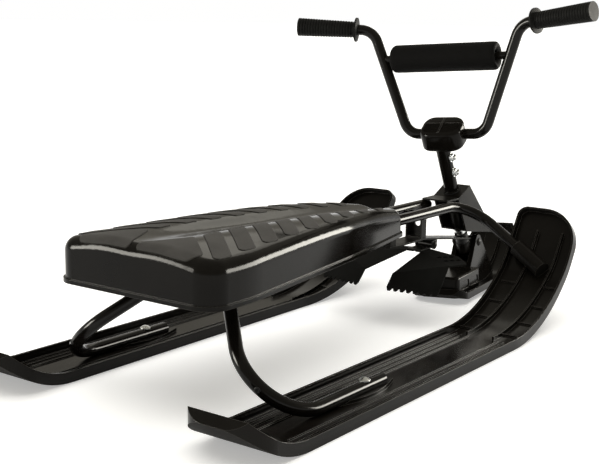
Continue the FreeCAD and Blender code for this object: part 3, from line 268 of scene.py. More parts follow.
def place_group(tree, group, values=None, place=None):
    made = add_node(tree, "ShaderNodeGroup", {"node_tree": group}, values)
    if place is not None:
        join(tree, place, "Object", made, "Vector")
    return made


def colour_mix(tree, first, second, share):
    colours = {"A": (*first, 1.0), "B": (*second, 1.0)}
    made = add_node(tree, "ShaderNodeMix", {"data_type": "RGBA"}, colours)
    tree.links.new(share, made.inputs["Factor"])
    return made


print("material helpers ready")

# %% [markdown]
# ## How a black finish is made
# Plastic, paint and rubber on this sled are all black, and differ in gloss, in grain and in how bright
# their edges are painted, for wear and, on the skis and the seat, as a painted highlight. Eight separate
# networks would say the same thing eight times, so one function lays colour, gloss and grain on in the
# same order, and each material chooses its own values.

# %% Maker of the black finishes
patch_lift = 1.5
scratch_share = 0.06


def lay_grain(tree, shader, grain, edges, depth):
    bump = add_node(tree, "ShaderNodeBump", None, {"Strength": 1.0, "Distance": depth})
    join(tree, grain, "Height", bump, "Height")
    join(tree, edges, "Normal", bump, "Normal")
    join(tree, bump, "Normal", shader, "Normal")


def black_finish(name, colour, edge_wear_and_highlight, gloss, rough, ior, grain_scale, grain_depth, patch_scale, radius):
    material, tree, shader = new_material(name)
    shader.inputs["IOR"].default_value = ior
    place = add_node(tree, "ShaderNodeTexCoord")
    grain = place_group(
        tree, grain_group, {"Grain Scale": grain_scale, "Patch Scale": patch_scale}, place)
    scratch = place_group(tree, scratch_group, None, place)
    edges = place_group(tree, edge_group, {"Radius": radius})

    lighter = [part * patch_lift for part in colour]
    tint = colour_mix(tree, colour, lighter, grain.outputs["Patch"])
    # The edges are painted brighter: for rubbed wear and as a painted highlight of light caught on the edges.
    wear_and_highlight_mix = add_node(tree, "ShaderNodeMix", {"data_type": "RGBA"}, {"B": (*edge_wear_and_highlight, 1.0)})
    edge_share = math_node(tree, "MULTIPLY", edges.outputs["Edge"], grain.outputs["Speckle"])
    tree.links.new(edge_share, wear_and_highlight_mix.inputs["Factor"])
    join(tree, tint, "Result", wear_and_highlight_mix, "A")
    join(tree, wear_and_highlight_mix, "Result", shader, "Base Color")

    dull = add_node(tree, "ShaderNodeMapRange", None, {"To Min": gloss, "To Max": rough})
    join(tree, grain, "Patch", dull, "Value")
    scored = math_node(tree, "MULTIPLY", scratch.outputs["Scratch"], scratch_share)
    roughness = math_node(tree, "ADD", dull.outputs["Result"], scored, clamp=True)
    tree.links.new(roughness, shader.inputs["Roughness"])
    lay_grain(tree, shader, grain, edges, grain_depth)
    return material


print("black finishes use", edge_group.name, grain_group.name, scratch_group.name)

# %% [markdown]
# ## The eight black finishes
# The skis are grained plastic, the seat is plastic polished in its mould, and its pads have a coarse
# matt texture. Tubes have glossy enamel with a faint orange peel, sheet parts a satin one and the brake
# blades a dull one. Bushes and grips are plain plastic and rubber.

# %% Plastics and rubber
# The bright edge colour of the skis is mostly a painted highlight along their ridges and edges, with some wear.
ski_plastic = black_finish(
    "ski_plastic", colour=(0.0050, 0.0044, 0.0036), edge_wear_and_highlight=(0.17, 0.16, 0.145), gloss=0.13, rough=0.21,
    ior=1.18, grain_scale=1400, grain_depth=0.000006, patch_scale=11, radius=0.0012)
# The seat's edge colour is a painted highlight along its lip and rounded edges, with some wear.
seat_plastic = black_finish(
    "seat_plastic", colour=(0.0046, 0.0040, 0.0033), edge_wear_and_highlight=(0.11, 0.105, 0.096), gloss=0.09, rough=0.15,
    ior=1.18, grain_scale=350, grain_depth=0.000003, patch_scale=9, radius=0.0016)
seat_grip = black_finish(
    "seat_grip", colour=(0.038, 0.036, 0.033), edge_wear_and_highlight=(0.06, 0.058, 0.054), gloss=0.62, rough=0.74,
    ior=1.22, grain_scale=1500, grain_depth=0.00012, patch_scale=20, radius=0.0008)
bush_plastic = black_finish(
    "bush_plastic", colour=(0.012, 0.012, 0.012), edge_wear_and_highlight=(0.04, 0.04, 0.04), gloss=0.40, rough=0.50,
    ior=1.30, grain_scale=900, grain_depth=0.00002, patch_scale=30, radius=0.0004)
grip_rubber = black_finish(
    "grip_rubber", colour=(0.006, 0.006, 0.0055), edge_wear_and_highlight=(0.02, 0.02, 0.018), gloss=0.50, rough=0.62,
    ior=1.18, grain_scale=1100, grain_depth=0.00005, patch_scale=22, radius=0.0006)
print("finishes:", ski_plastic.name, seat_plastic.name, seat_grip.name, bush_plastic.name, grip_rubber.name)

# %% Paints
black_tube = black_finish(
    "black_tube", colour=(0.0046, 0.0040, 0.0033), edge_wear_and_highlight=(0.02, 0.019, 0.017), gloss=0.10, rough=0.17,
    ior=1.24, grain_scale=420, grain_depth=0.000005, patch_scale=16, radius=0.0006)
black_sheet = black_finish(
    "black_sheet", colour=(0.0050, 0.0044, 0.0036), edge_wear_and_highlight=(0.05, 0.048, 0.044), gloss=0.26, rough=0.38,
    ior=1.18, grain_scale=600, grain_depth=0.00001, patch_scale=16, radius=0.0006)
brake_paint = black_finish(
    "brake_paint", colour=(0.005, 0.005, 0.0045), edge_wear_and_highlight=(0.035, 0.035, 0.032), gloss=0.78, rough=0.88,
    ior=1.12, grain_scale=900, grain_depth=0.00004, patch_scale=26, radius=0.0006)
print("paints:", black_tube.name, black_sheet.name, brake_paint.name)

# %% [markdown]
# ## Zinc plate
# The screws, the ski bolts, the steering shaft and its yoke are steel with bright zinc on it. A plain metal
# shader looks like chrome, so the same grain lightens and dulls it in patches, as plating does.

# %% Zinc plate
zinc_grey = (0.56, 0.58, 0.59)
zinc_pale = (0.72, 0.73, 0.72)
zinc_gloss = 0.20
zinc_rough = 0.36
zinc_grain_scale = 1200
zinc_patch_scale = 160
zinc_grain_depth = 0.000012
zinc_edge_radius = 0.0005


def zinc_finish(name):
    material, tree, shader = new_material(name)
    shader.inputs["Metallic"].default_value = 1.0
    place = add_node(tree, "ShaderNodeTexCoord")
    scales = {"Grain Scale": zinc_grain_scale, "Patch Scale": zinc_patch_scale}
    grain = place_group(tree, grain_group, scales, place)
    edges = place_group(tree, edge_group, {"Radius": zinc_edge_radius})
    tint = colour_mix(tree, zinc_grey, zinc_pale, grain.outputs["Patch"])
    join(tree, tint, "Result", shader, "Base Color")
    dull = add_node(tree, "ShaderNodeMapRange", None, {"To Min": zinc_gloss, "To Max": zinc_rough})
    join(tree, grain, "Patch", dull, "Value")
    join(tree, dull, "Result", shader, "Roughness")
    lay_grain(tree, shader, grain, edges, zinc_grain_depth)
    return material


zinc_plate = zinc_finish("zinc_plate")
print("finish:", zinc_plate.name)

# %% [markdown]
# ## Scuffed soles
# Snow and gravel rub the gloss off every face of a ski that looks down. A second material would start with
# a hard border. The z part of the surface's normal is a mask that fades in, and under it the roughness
# rises to a matt one.

# %% Scuffed soles
sole_rough = 0.66
sole_starts = 0.02
sole_full = -0.15


def scuff_soles(material):
    tree = material.node_tree
    shader = tree.nodes["Principled BSDF"]
    polished = shader.inputs["Roughness"].links[0].from_socket
    geometry = add_node(tree, "ShaderNodeNewGeometry")
    parts = add_node(tree, "ShaderNodeSeparateXYZ")
    join(tree, geometry, "Normal", parts, "Vector")
    matt = add_node(tree, "ShaderNodeMapRange", None, {
        "From Min": sole_starts, "From Max": sole_full, "To Min": 0.0, "To Max": sole_rough})
    join(tree, parts, "Z", matt, "Value")
    scuffed = math_node(tree, "MAXIMUM", polished, matt.outputs["Result"])
    tree.links.new(scuffed, shader.inputs["Roughness"])


scuff_soles(ski_plastic)
print("soles scuffed on", ski_plastic.name)

# %% [markdown]
# ## Where the crossbar pad lies
# The pad is a roll that leans and turns with the bar. Its place could be typed in, but the solid that it
# replaces already has it: the longest direction of that solid's points is the roll's axis.

# %% Place of the crossbar pad
def long_axis(node):
    points = numpy.array([vertex.co for vertex in nodes[node].data.vertices])
    middle = points.mean(axis=0)
    directions = numpy.linalg.svd(points - middle, full_matrices=False)[2]
    along = (points - middle) @ directions.T
    centre = middle + ((along.min(axis=0) + along.max(axis=0)) / 2) @ directions
    axis = Vector(directions[0])
    if axis.y < 0:
        axis = -axis
    half = float(along[:, 0].max() - along[:, 0].min()) / 2
    return Vector(centre), axis, half


pad_centre, pad_axis, pad_half = long_axis("crossbar_pad")
pad_side = pad_axis.cross(Vector((0, 0, 1))).normalized()
pad_up = pad_side.cross(pad_axis).normalized()
pad_place = Matrix((pad_side, pad_axis, pad_up)).transposed().to_4x4()
pad_place.translation = pad_centre
print("pad: half length", round(pad_half, 4), "axis", tuple(round(part, 3) for part in pad_axis))

# %% [markdown]
# ## Foam sleeve
# The crossbar pad is foam in a sleeve of woven nylon. A weave on a UV map would be lost when the pad is
# remeshed, so it is two crossed waves in the pad's own directions, along the bar and around it, and
# the threads follow the roll.

# %% Finish of the foam sleeve
thread_pitch = 0.0011
threads_around = 148.0
thread_bump = 0.0002
thread_bump_strength = 0.7
sleeve_ior = 1.15
sleeve_dark = (0.0030, 0.0029, 0.0027)
sleeve_light = (0.0080, 0.0077, 0.0072)
sleeve_gloss = 0.62
sleeve_rough = 0.80
cloud_scale = 30.0


def woven_finish(name):
    material, tree, shader = new_material(name)
    shader.inputs["IOR"].default_value = sleeve_ior
    place = add_node(tree, "ShaderNodeTexCoord")
    back = pad_place.inverted()
    local = add_node(tree, "ShaderNodeMapping", {"vector_type": "POINT"}, {
        "Rotation": back.to_euler(), "Location": back.translation})
    join(tree, place, "Object", local, "Vector")
    parts = add_node(tree, "ShaderNodeSeparateXYZ")
    join(tree, local, "Vector", parts, "Vector")
    around = math_node(tree, "ARCTAN2", parts.outputs["X"], parts.outputs["Z"])
    warp = math_node(tree, "SINE", math_node(tree, "MULTIPLY", around, threads_around))
    waves = 1 / thread_pitch * 2 * math.pi
    weft = math_node(tree, "SINE", math_node(tree, "MULTIPLY", parts.outputs["Y"], waves))
    weave = math_node(tree, "MULTIPLY", warp, weft)
    lift = add_node(tree, "ShaderNodeMapRange", None, {"From Min": -1.0, "From Max": 1.0})
    tree.links.new(weave, lift.inputs["Value"])
    cloud = add_node(tree, "ShaderNodeTexNoise", None, {"Scale": cloud_scale, "Detail": 4.0})
    join(tree, place, "Object", cloud, "Vector")
    mixed = math_node(tree, "MULTIPLY", lift.outputs["Result"], cloud.outputs["Fac"])
    tint = colour_mix(tree, sleeve_dark, sleeve_light, mixed)
    join(tree, tint, "Result", shader, "Base Color")
    dull = add_node(tree, "ShaderNodeMapRange", None, {"To Min": sleeve_gloss, "To Max": sleeve_rough})
    join(tree, cloud, "Fac", dull, "Value")
    join(tree, dull, "Result", shader, "Roughness")
    bump = add_node(
        tree, "ShaderNodeBump", None, {"Strength": thread_bump_strength, "Distance": thread_bump})
    join(tree, lift, "Result", bump, "Height")
    join(tree, bump, "Normal", shader, "Normal")
    return material


pad_sleeve = woven_finish("pad_sleeve")
print("finish:", pad_sleeve.name, "with", int(threads_around), "threads around")

# %% [markdown]
# ## Finishes on the solids
# The record names a material slot for every solid. Finishes could be set node by node, but a list of
# which finish stands for which slot is shorter, and the few solids that look different follow it.

# %% Lay the finishes on the solids
finish_of_slot = {
    "ski_plastic": ski_plastic,
    "seat_plastic": seat_plastic,
    "seat_grip": seat_grip,
    "black_tube": black_tube,
    "black_sheet": black_sheet,
    "zinc": zinc_plate,
    "bush": bush_plastic,
    "pad_foam": pad_sleeve,
    "grip_rubber": grip_rubber,
}
finish_of_node = {
    brake_paint: ("brake_blade_left", "brake_blade_right"),
    black_sheet: ("thrust_washer", "pivot_bolt", "pivot_nut", "brake_axle", "brake_rivets"),
}
for piece in frame["record"]["subparts"]:
    mesh = nodes[piece["node"]].data
    mesh.materials.clear()
    mesh.materials.append(finish_of_slot[piece["material_slot"]])
for finish, own_nodes in finish_of_node.items():
    for node in own_nodes:
        nodes[node].data.materials[0] = finish
print("finishes laid on", len(nodes), "nodes")

# %% [markdown]
# ## Mesh helpers
# New pieces are drawn with bmesh and then become objects. Turned pieces could be cut from cylinders, but
# spinning half of their section gives every step and round at once. Faces are shaded smooth, apart from
# edges that turn by more than a given angle.

# %% Mesh helpers
merge_reach = 0.00002


def mesh_object(name, work, finish):
    mesh = bpy.data.meshes.new(name)
    work.to_mesh(mesh)
    work.free()
    mesh.materials.append(finish)
    made = bpy.data.objects.new(name, mesh)
    scene.collection.objects.link(made)
    return made


def smooth_by_angle(made, crease):
    for face in made.data.polygons:
        face.use_smooth = True
    made.data.set_sharp_from_angle(angle=math.radians(crease))


def spin_profile(work, profile, place, steps, ring):
    corners = [work.verts.new(Vector((radius, along, 0))) for radius, along in profile]
    first = 0 if ring else 1
    rims = [work.edges.new((corners[i - 1], corners[i])) for i in range(first, len(corners))]
    older = set(work.verts) - set(corners)
    bmesh.ops.spin(
        work, geom=corners + rims, cent=(0, 0, 0), axis=(0, 1, 0), dvec=(0, 0, 0),
        angle=2 * math.pi, steps=steps, use_merge=True, use_duplicate=False)
    made = [vert for vert in work.verts if vert not in older]
    bmesh.ops.remove_doubles(work, verts=made, dist=merge_reach)
    made = [vert for vert in work.verts if vert not in older]
    bmesh.ops.transform(work, matrix=place, verts=made)
    bmesh.ops.recalc_face_normals(work, faces=work.faces)


print("mesh helpers ready")

# %% [markdown]
# ## Section of the crossbar pad
# The roll is dished at both ends, where the sleeve is drawn in round the bar. A cylinder with bevelled
# ends would be flat there, so the section is drawn with its dish and its round shoulder. It lies a
# millimetre inside the named radius and length, which is the most that a point may move in the next step.

# %% Section of the crossbar pad
pad_radius = 0.0262
pad_bore = 0.0102
pad_round = 0.006
pad_dish = 0.007
pad_push = 0.0010
pad_steps = 72
dish_steps = 5
round_steps = 6
side_shares = (0.75, 0.5, 0.25, 0.0)


def pad_profile():
    outer = pad_radius - pad_push
    end = pad_half - pad_push
    shoulder = outer - pad_round
    points = [(pad_bore, -end + pad_dish), (pad_bore, end - pad_dish)]
    for step in range(dish_steps):
        share = step / dish_steps
        rise = 1 - math.sin(share * math.pi / 2)
        points.append((pad_bore + (shoulder - pad_bore) * share, end - pad_dish * rise))
    for step in range(round_steps + 1):
        turn = math.pi / 2 * step / round_steps
        radius = shoulder + pad_round * math.sin(turn)
        points.append((radius, end - pad_round + pad_round * math.cos(turn)))
    for share in side_shares:
        points.append((outer, (end - pad_round) * share))
    rear = [(radius, -along) for radius, along in points[2:-1]]
    return points + rear[::-1]


pad_work = bmesh.new()
spin_profile(pad_work, pad_profile(), pad_place, pad_steps, ring=True)
crossbar_pad = mesh_object("crossbar_pad_soft", pad_work, pad_sleeve)
print("pad section:", len(pad_profile()), "points")

# %% [markdown]
# ## Air in the sleeve
# A stuffed sleeve can swell between its drawn-in ends. That could be drawn into the section, but here the
# roll gets an even mesh, and a cloth simulation presses air into it. The cell prints the largest move. On
# so thin a roll, with cloth this stiff, it is about two hundredths of a millimetre, far from the limit
# that is set, so the roll keeps the straight form of its section. More pressure would swell it more.

# %% Air in the sleeve
pad_voxel = 0.004
pad_frames = 20
sleeve_quality = 6
sleeve_mass = 0.2
sleeve_stretch = 30
sleeve_bending = 2
sleeve_pressure = 4
pad_crease = 60


def remesh_evenly(pad):
    even = pad.modifiers.new("even_mesh", "REMESH")
    even.mode = "VOXEL"
    even.voxel_size = pad_voxel
    graph = bpy.context.evaluated_depsgraph_get()
    pad.data = bpy.data.meshes.new_from_object(pad.evaluated_get(graph))
    pad.modifiers.clear()


def hold_ends(pad):
    held = pad.vertex_groups.new(name="drawn_in")
    inward = pad_place.inverted()
    for vertex in pad.data.vertices:
        local = inward @ vertex.co
        if math.hypot(local.x, local.z) < pad_bore + pad_voxel:
            held.add([vertex.index], 1.0, "REPLACE")
    return held.name


def press_air_in(pad):
    remesh_evenly(pad)
    start = [vertex.co.copy() for vertex in pad.data.vertices]
    held = hold_ends(pad)
    cloth = pad.modifiers.new("sleeve", "CLOTH")
    cloth.settings.quality = sleeve_quality
    cloth.settings.mass = sleeve_mass
    cloth.settings.tension_stiffness = sleeve_stretch
    cloth.settings.compression_stiffness = sleeve_stretch
    cloth.settings.bending_stiffness = sleeve_bending
    cloth.settings.use_pressure = True
    cloth.settings.uniform_pressure_force = sleeve_pressure
    cloth.settings.effector_weights.gravity = 0
    cloth.settings.vertex_group_mass = held
    cloth.point_cache.frame_start = 1
    cloth.point_cache.frame_end = pad_frames
    for step in range(1, pad_frames + 1):
        scene.frame_set(step)
    graph = bpy.context.evaluated_depsgraph_get()
    pressed = [vertex.co.copy() for vertex in pad.evaluated_get(graph).data.vertices]
    pad.modifiers.clear()
    largest = 0.0
    for vertex, old, new in zip(pad.data.vertices, start, pressed):
        move = new - old
        if move.length > pad_push:
            move = move.normalized() * pad_push
        vertex.co = old + move
        largest = max(largest, move.length)
    scene.frame_set(1)
    finer = pad.modifiers.new("smooth_sleeve", "SUBSURF")
    finer.levels = 1
    finer.render_levels = 1
    return largest


largest_move = press_air_in(crossbar_pad)
print("sleeve: largest move", round(largest_move * 1000, 3), "mm")
smooth_by_angle(crossbar_pad, pad_crease)
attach(crossbar_pad, "steering")
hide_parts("crossbar_pad")
print("pad:", len(crossbar_pad.data.polygons), "faces")

# %% [markdown]
# ## Box helpers
# Moulded pieces start as boxes with rounded edges. A cube could be scaled as an object, but a finished
# piece sits unscaled at the origin, so the corners themselves are moved and the edges bevelled.

# %% Box helpers
def box_between(work, low, high):
    made = bmesh.ops.create_cube(work, size=1.0)["verts"]
    size = [b - a for a, b in zip(low, high)]
    middle = [(a + b) / 2 for a, b in zip(low, high)]
    bmesh.ops.scale(work, vec=size, verts=made)
    bmesh.ops.translate(work, vec=middle, verts=made)
    return made


def bevel_edges(work, edges, offset, segments):
    bmesh.ops.bevel(
        work, geom=edges, offset=offset, segments=segments, profile=0.5, affect="EDGES", material=-1)


def round_edges(work, verts, offset, segments):
    edges = list({edge for vert in verts for edge in vert.link_edges})
    bevel_edges(work, edges, offset, segments)


print("box helpers ready")

# %% [markdown]
# ## Where the stem cover sits
# The cap over the stem sits square to the leaning column and turns with the bar. Angles could be read off
# the photograph, but the steering joint's axis and the pad's axis already give its three directions.

# %% Place of the stem cover
cover_middle = Vector((0.2998, 0.0023, 0.2984))
column_axis = Vector(joints["steering"]["axis"])
cover_side = (pad_axis - column_axis * pad_axis.dot(column_axis)).normalized()
cover_ahead = cover_side.cross(column_axis).normalized()
cover_place = Matrix((cover_ahead, cover_side, column_axis)).transposed().to_4x4()
cover_place.translation = cover_middle
print("stem cover: faces along", tuple(round(part, 3) for part in cover_ahead))

# %% [markdown]
# ## Stem cover
# Two moulded halves close round the top of the column and the middle of the bar. The top rises a little to
# the front and carries a rib along the middle. Each half could be modelled by itself, but one box with
# a raised front edge, rounded all over and parted where the halves meet, keeps their outlines in line.

# %% Stem cover
cover_rear = -0.031
cover_front = 0.025
cover_half = 0.0385
cover_low = -0.021
cover_high_rear = 0.016
cover_high_front = 0.024
cover_round = 0.007
cover_round_segments = 5
cover_corner = 0.021
cover_corner_segments = 8
cover_crease = 40
cover_seam = 0.004
seam_gap = 0.0004
fold_angle = 1.0
rib_half = 0.0014
rib_rise = 0.0012
rib_segments = 2
cut_reach = 0.00001


def height_of(edge):
    return abs(edge.verts[0].co.z - edge.verts[1].co.z)


def cover_body(work):
    raise_by = cover_high_front - cover_high_rear
    corners = box_between(
        work, (cover_rear, -cover_half, cover_low), (cover_front, cover_half, cover_high_rear))
    raised = [corner for corner in corners if corner.co.x > 0 and corner.co.z > 0]
    bmesh.ops.translate(work, vec=(0, 0, raise_by), verts=raised)
    upright = [edge for edge in work.edges if height_of(edge) > cover_half / 2]
    bevel_edges(work, upright, cover_corner, cover_corner_segments)
    paired = [edge for edge in work.edges if len(edge.link_faces) == 2]
    flat = [edge for edge in paired if edge.calc_face_angle() > fold_angle]
    bevel_edges(work, flat, cover_round, cover_round_segments)
    slope = raise_by / (cover_front - cover_rear)
    rib_low = (cover_rear + cover_round, -rib_half, -rib_half)
    rib_high = (cover_front - cover_round, rib_half, rib_rise)
    rib = box_between(work, rib_low, rib_high)
    for corner in rib:
        corner.co.z += cover_high_rear + (corner.co.x - cover_rear) * slope
    round_edges(work, rib, rib_rise / 2, rib_segments)


def cover_half_piece(name, node, side):
    work = bmesh.new()
    cover_body(work)
    cut = bmesh.ops.bisect_plane(
        work, geom=work.verts[:] + work.edges[:] + work.faces[:], dist=cut_reach,
        plane_co=(cover_seam + side * seam_gap, 0, 0), plane_no=(-side, 0, 0), clear_outer=True)
    rim = [part for part in cut["geom_cut"] if isinstance(part, bmesh.types.BMEdge)]
    bmesh.ops.holes_fill(work, edges=rim)
    bmesh.ops.recalc_face_normals(work, faces=work.faces)
    bmesh.ops.transform(work, matrix=cover_place, verts=work.verts)
    made = mesh_object(name, work, seat_plastic)
    smooth_by_angle(made, cover_crease)
    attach(made, "steering")
    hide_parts(node)
    return made


front_cap = cover_half_piece("stem_cover_front_cap", "stem_cover_front", 1)
rear_cap = cover_half_piece("stem_cover_rear_cap", "stem_cover_rear", -1)
print("stem cover:", len(front_cap.data.polygons), "and", len(rear_cap.data.polygons), "faces")

# %% [markdown]
# ## Dome nuts of the column
# Two bright cap nuts close the cross screws on the right of the column: a washer, a hexagon and a dome.
# A spun section would have no flats, so each is a cone, a six-sided cone and half a sphere, cut by a
# plane. They turn as one piece with the column, at the heights of the screws that they stand for.

# %% Dome nuts
column_radius = 0.0127
nut_washer = 0.0090
nut_washer_thick = 0.0012
washer_top_share = 0.97
washer_sides = 40
nut_radius = 0.0076
nut_height = 0.0048
nut_sides = 6
nut_edge = 0.0006
nut_edge_segments = 2
nut_crease = 35
dome_radius = 0.0056
dome_around = 32
dome_rings = 16


def add_dome_nut(work, place, outward):
    lift = Matrix.Translation((0, 0, nut_washer_thick / 2))
    bmesh.ops.create_cone(
        work, cap_ends=True, segments=washer_sides, radius1=nut_washer,
        radius2=nut_washer * washer_top_share, depth=nut_washer_thick, matrix=place @ lift)
    lift = Matrix.Translation((0, 0, nut_washer_thick + nut_height / 2))
    hexagon = bmesh.ops.create_cone(
        work, cap_ends=True, segments=nut_sides, radius1=nut_radius, radius2=nut_radius,
        depth=nut_height, matrix=place @ lift)["verts"]
    round_edges(work, hexagon, nut_edge, nut_edge_segments)
    lift = Matrix.Translation((0, 0, nut_washer_thick + nut_height))
    dome = bmesh.ops.create_uvsphere(
        work, u_segments=dome_around, v_segments=dome_rings, radius=dome_radius,
        matrix=place @ lift)["verts"]
    sphere = set(dome)
    pieces = dome + [edge for edge in work.edges if sphere.issuperset(edge.verts)]
    pieces = pieces + [face for face in work.faces if sphere.issuperset(face.verts)]
    bmesh.ops.bisect_plane(
        work, geom=pieces, dist=cut_reach, plane_co=(place @ lift).translation,
        plane_no=-outward, clear_outer=True)


screw_points = [vertex.co for vertex in nodes["column_screws"].data.vertices]
screw_middle = sum(point.z for point in screw_points) / len(screw_points)
column_spot = Vector(joints["steering"]["pos_m"])
nut_outward = -cover_side
nut_turn = nut_outward.to_track_quat("Z", "Y").to_matrix().to_4x4()
nut_work = bmesh.new()
for lower in (True, False):
    own = [point for point in screw_points if (point.z < screw_middle) == lower]
    centre = sum(own, Vector()) / len(own)
    foot = column_spot + column_axis * (centre - column_spot).dot(column_axis)
    start = foot + nut_outward * (column_radius - nut_washer_thick / 2)
    add_dome_nut(nut_work, Matrix.Translation(start) @ nut_turn, nut_outward)
dome_nuts = mesh_object("column_dome_nuts", nut_work, zinc_plate)
smooth_by_angle(dome_nuts, nut_crease)
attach(dome_nuts, "steering")
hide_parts("column_screws")
print("dome nuts:", len(dome_nuts.data.polygons), "faces")

# %% [markdown]
# ## Nose of the head bracket
# The folded sheet of the steering head runs on forward and down to a point over the front ski. Plates
# could be set edge to edge, but folded sheet is one piece: its outline is drawn through from side to
# side, the open faces are taken off, and what stays gets the thickness of the sheet.

# %% Nose of the head bracket
nose_half = 0.0263
nose_sheet = 0.002
nose_top = (0.3519, 0.2026)
nose_point = (0.456, 0.101)
nose_foot = (0.3467, 0.1172)
nose_root = (0.3122, 0.1797)
facing_limit = 0.5

nose_work = bmesh.new()
nose_outline = (nose_top, nose_point, nose_foot, nose_root)
nose_verts = [nose_work.verts.new((x, -nose_half, z)) for x, z in nose_outline]
nose_face = nose_work.faces.new(nose_verts)
nose_far = bmesh.ops.extrude_face_region(nose_work, geom=[nose_face])["geom"]
nose_moved = [part for part in nose_far if isinstance(part, bmesh.types.BMVert)]
bmesh.ops.translate(nose_work, vec=(0, nose_half * 2, 0), verts=nose_moved)
nose_work.faces.ensure_lookup_table()
bmesh.ops.recalc_face_normals(nose_work, faces=nose_work.faces)
not_ahead = [face for face in nose_work.faces if face.normal.x < facing_limit]
nose_open = [face for face in not_ahead if abs(face.normal.y) < facing_limit]
bmesh.ops.delete(nose_work, geom=nose_open, context="FACES_ONLY")
bmesh.ops.solidify(nose_work, geom=nose_work.faces[:], thickness=nose_sheet)
bmesh.ops.recalc_face_normals(nose_work, faces=nose_work.faces)
bracket_nose = mesh_object("head_bracket_nose", nose_work, black_sheet)
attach(bracket_nose, "frame")
print("bracket nose:", len(bracket_nose.data.polygons), "faces")

# %% [markdown]
# ## Plugs of the leg tubes
# The right leg tube shows a small dark hole at the back of its lower bend, and the left one is taken to
# have the same. Each is closed here by a dished push-in plug. The tube can't be cut, so half the plug's
# section is drawn from the middle out, spun full circle and set on the tube's skin, facing back.

# %% Plugs of the leg tubes
plug_spot = Vector((-0.4417, -0.1669, 0.0490))
plug_facing = Vector((-0.9515, -0.3054, -0.0378)).normalized()
plug_dish = 0.0023
plug_rim = 0.0042
plug_rise = 0.0009
plug_floor = 0.0002
plug_deep = 0.0016
plug_steps = 36
plug_crease = 50
plug_profile = (
    (0.0, plug_floor),
    (plug_dish, plug_floor),
    (plug_dish + plug_rise / 2, plug_rise),
    (plug_rim - plug_rise, plug_rise),
    (plug_rim, plug_floor),
    (plug_rim, -plug_deep),
    (0.0, -plug_deep),
)

plug_work = bmesh.new()
for side in (1, -1):
    facing = Vector((plug_facing.x, plug_facing.y * side, plug_facing.z))
    spot = Vector((plug_spot.x, plug_spot.y * side, plug_spot.z))
    place = Matrix.Translation(spot) @ facing.to_track_quat("Y", "Z").to_matrix().to_4x4()
    spin_profile(plug_work, plug_profile, place, plug_steps, ring=False)
leg_plugs = mesh_object("leg_tube_plugs", plug_work, bush_plastic)
smooth_by_angle(leg_plugs, plug_crease)
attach(leg_plugs, "frame")
print("leg tube plugs:", len(leg_plugs.data.polygons), "faces")

# %% [markdown]
# ## Floor
# The sled stands on a pale floor that runs to the horizon. Under plain studio light the floor would turn
# grey in the broad shadow of the seat, and more light would wash out the sled. So a little glow is added
# to the matt paint for rays from the camera and from glossy or clear surfaces only. No matt surface is
# lit by it, and the floor keeps the shadow.

# %% Floor
floor_radius = 60.0
floor_sides = 96
floor_drop = 0.0004
floor_white = 0.36
floor_paint = (0.95, 0.95, 0.94, 1.0)
floor_rough = 0.9
pale_white = (1.0, 1.0, 0.995, 1.0)

floor_work = bmesh.new()
bmesh.ops.create_circle(floor_work, cap_ends=True, radius=floor_radius, segments=floor_sides)
bmesh.ops.translate(floor_work, vec=(0, 0, -floor_drop), verts=floor_work.verts)
floor_finish, floor_tree, floor_shader = new_material("pale_floor")
floor_shader.inputs["Base Color"].default_value = floor_paint
floor_shader.inputs["Roughness"].default_value = floor_rough
floor_shader.inputs["Specular IOR Level"].default_value = 0.0
floor_rays = add_node(floor_tree, "ShaderNodeLightPath")
seen = floor_rays.outputs["Is Camera Ray"]
for ray in ("Is Glossy Ray", "Is Transmission Ray"):
    seen = math_node(floor_tree, "ADD", seen, floor_rays.outputs[ray], clamp=True)
floor_glow = add_node(floor_tree, "ShaderNodeEmission", None, {"Color": pale_white})
glow_strength = math_node(floor_tree, "MULTIPLY", seen, floor_white)
floor_tree.links.new(glow_strength, floor_glow.inputs["Strength"])
floor_sum = add_node(floor_tree, "ShaderNodeAddShader")
join(floor_tree, floor_shader, "BSDF", floor_sum, 0)
join(floor_tree, floor_glow, "Emission", floor_sum, 1)
join(floor_tree, floor_sum, "Shader", floor_tree.nodes["Material Output"], "Surface")
floor = mesh_object("studio_floor", floor_work, floor_finish)
print("floor: radius", floor_radius)

# %% [markdown]
# ## Sky
# Black plastic shows what stands round it more than its own colour. An even white sky would turn the seat
# grey, so the sky is white near the horizon, as in a studio with a white sweep, and dim above.

# %% Sky
sky_white_below = 0.02
sky_dim_above = 0.225
sky_dim = (0.41, 0.385, 0.325, 1.0)

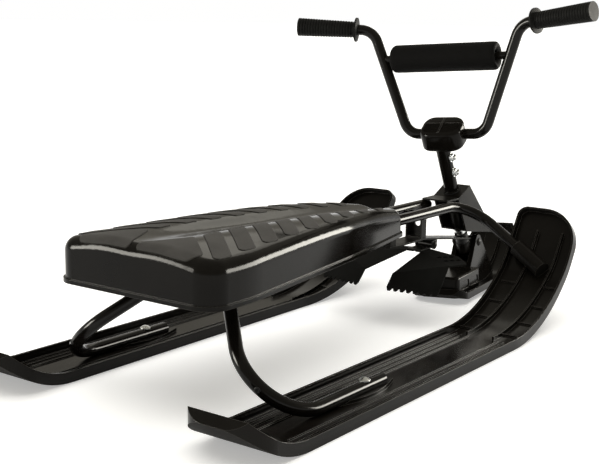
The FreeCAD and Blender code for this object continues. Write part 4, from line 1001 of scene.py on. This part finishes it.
world = bpy.data.worlds.new("studio")
scene.world = world
world.use_nodes = True
sky = world.node_tree
sky_place = add_node(sky, "ShaderNodeTexCoord")
sky_parts = add_node(sky, "ShaderNodeSeparateXYZ")
join(sky, sky_place, "Generated", sky_parts, "Vector")
sky_fade = add_node(sky, "ShaderNodeMapRange", {"interpolation_type": "SMOOTHSTEP"}, {
    "From Min": sky_white_below, "From Max": sky_dim_above})
join(sky, sky_parts, "Z", sky_fade, "Value")
sky_mix = add_node(sky, "ShaderNodeMix", {"data_type": "RGBA"}, {"A": pale_white, "B": sky_dim})
join(sky, sky_fade, "Result", sky_mix, "Factor")
join(sky, sky_mix, "Result", sky.nodes["Background"], "Color")
print("sky: dim above", sky_dim_above)

# %% [markdown]
# ## Lamps
# A broad sun from above gives the soft shadow and is kept out of reflections. Three soft boxes do the
# opposite and show only in reflections: one behind on the left, one in front on the right and a large
# faint one high in front on the left. They draw the long pale lines along the rounded black edges. With
# the same lamps for both, each change to a line would change the shadow too.

# %% Lamps
box_warmth = (1.0, 0.965, 0.87)
box_aim = (0, 0, 0.2)
sun_spot = (0.3, 0.4, 2.0)
sun_strength = 2.4
sun_spread = 90
soft_boxes = {
    "rear_box": {"spot": (-2.3, 1.9, 0.85), "width": 1.0, "height": 0.9, "power": 85},
    "front_box": {"spot": (2.3, -1.8, 0.75), "width": 2.4, "height": 0.9, "power": 170},
    "sweep_box": {"spot": (3.1, 2.6, 2.5), "width": 3.4, "height": 1.5, "power": 15},
}


def place_lamp(name, data, spot, target):
    turn = (Vector(target) - Vector(spot)).to_track_quat("-Z", "Y").to_matrix().to_4x4()
    made = bpy.data.objects.new(name, data)
    made.matrix_world = Matrix.Translation(spot) @ turn
    scene.collection.objects.link(made)
    return made


def soft_sun(name, spot, strength, spread):
    data = bpy.data.lights.new(name, "SUN")
    data.energy = strength
    data.angle = math.radians(spread)
    made = place_lamp(name, data, spot, (0, 0, 0))
    made.visible_glossy = False


def soft_box(name, spot, width, height, power):
    data = bpy.data.lights.new(name, "AREA")
    data.shape = "RECTANGLE"
    data.size = width
    data.size_y = height
    data.energy = power
    data.color = box_warmth
    made = place_lamp(name, data, spot, box_aim)
    made.visible_diffuse = False
    made.visible_camera = False


soft_sun("overhead_fill", sun_spot, sun_strength, sun_spread)
for name, values in soft_boxes.items():
    soft_box(name, **values)
print("lamps: one sun and", len(soft_boxes), "soft boxes")
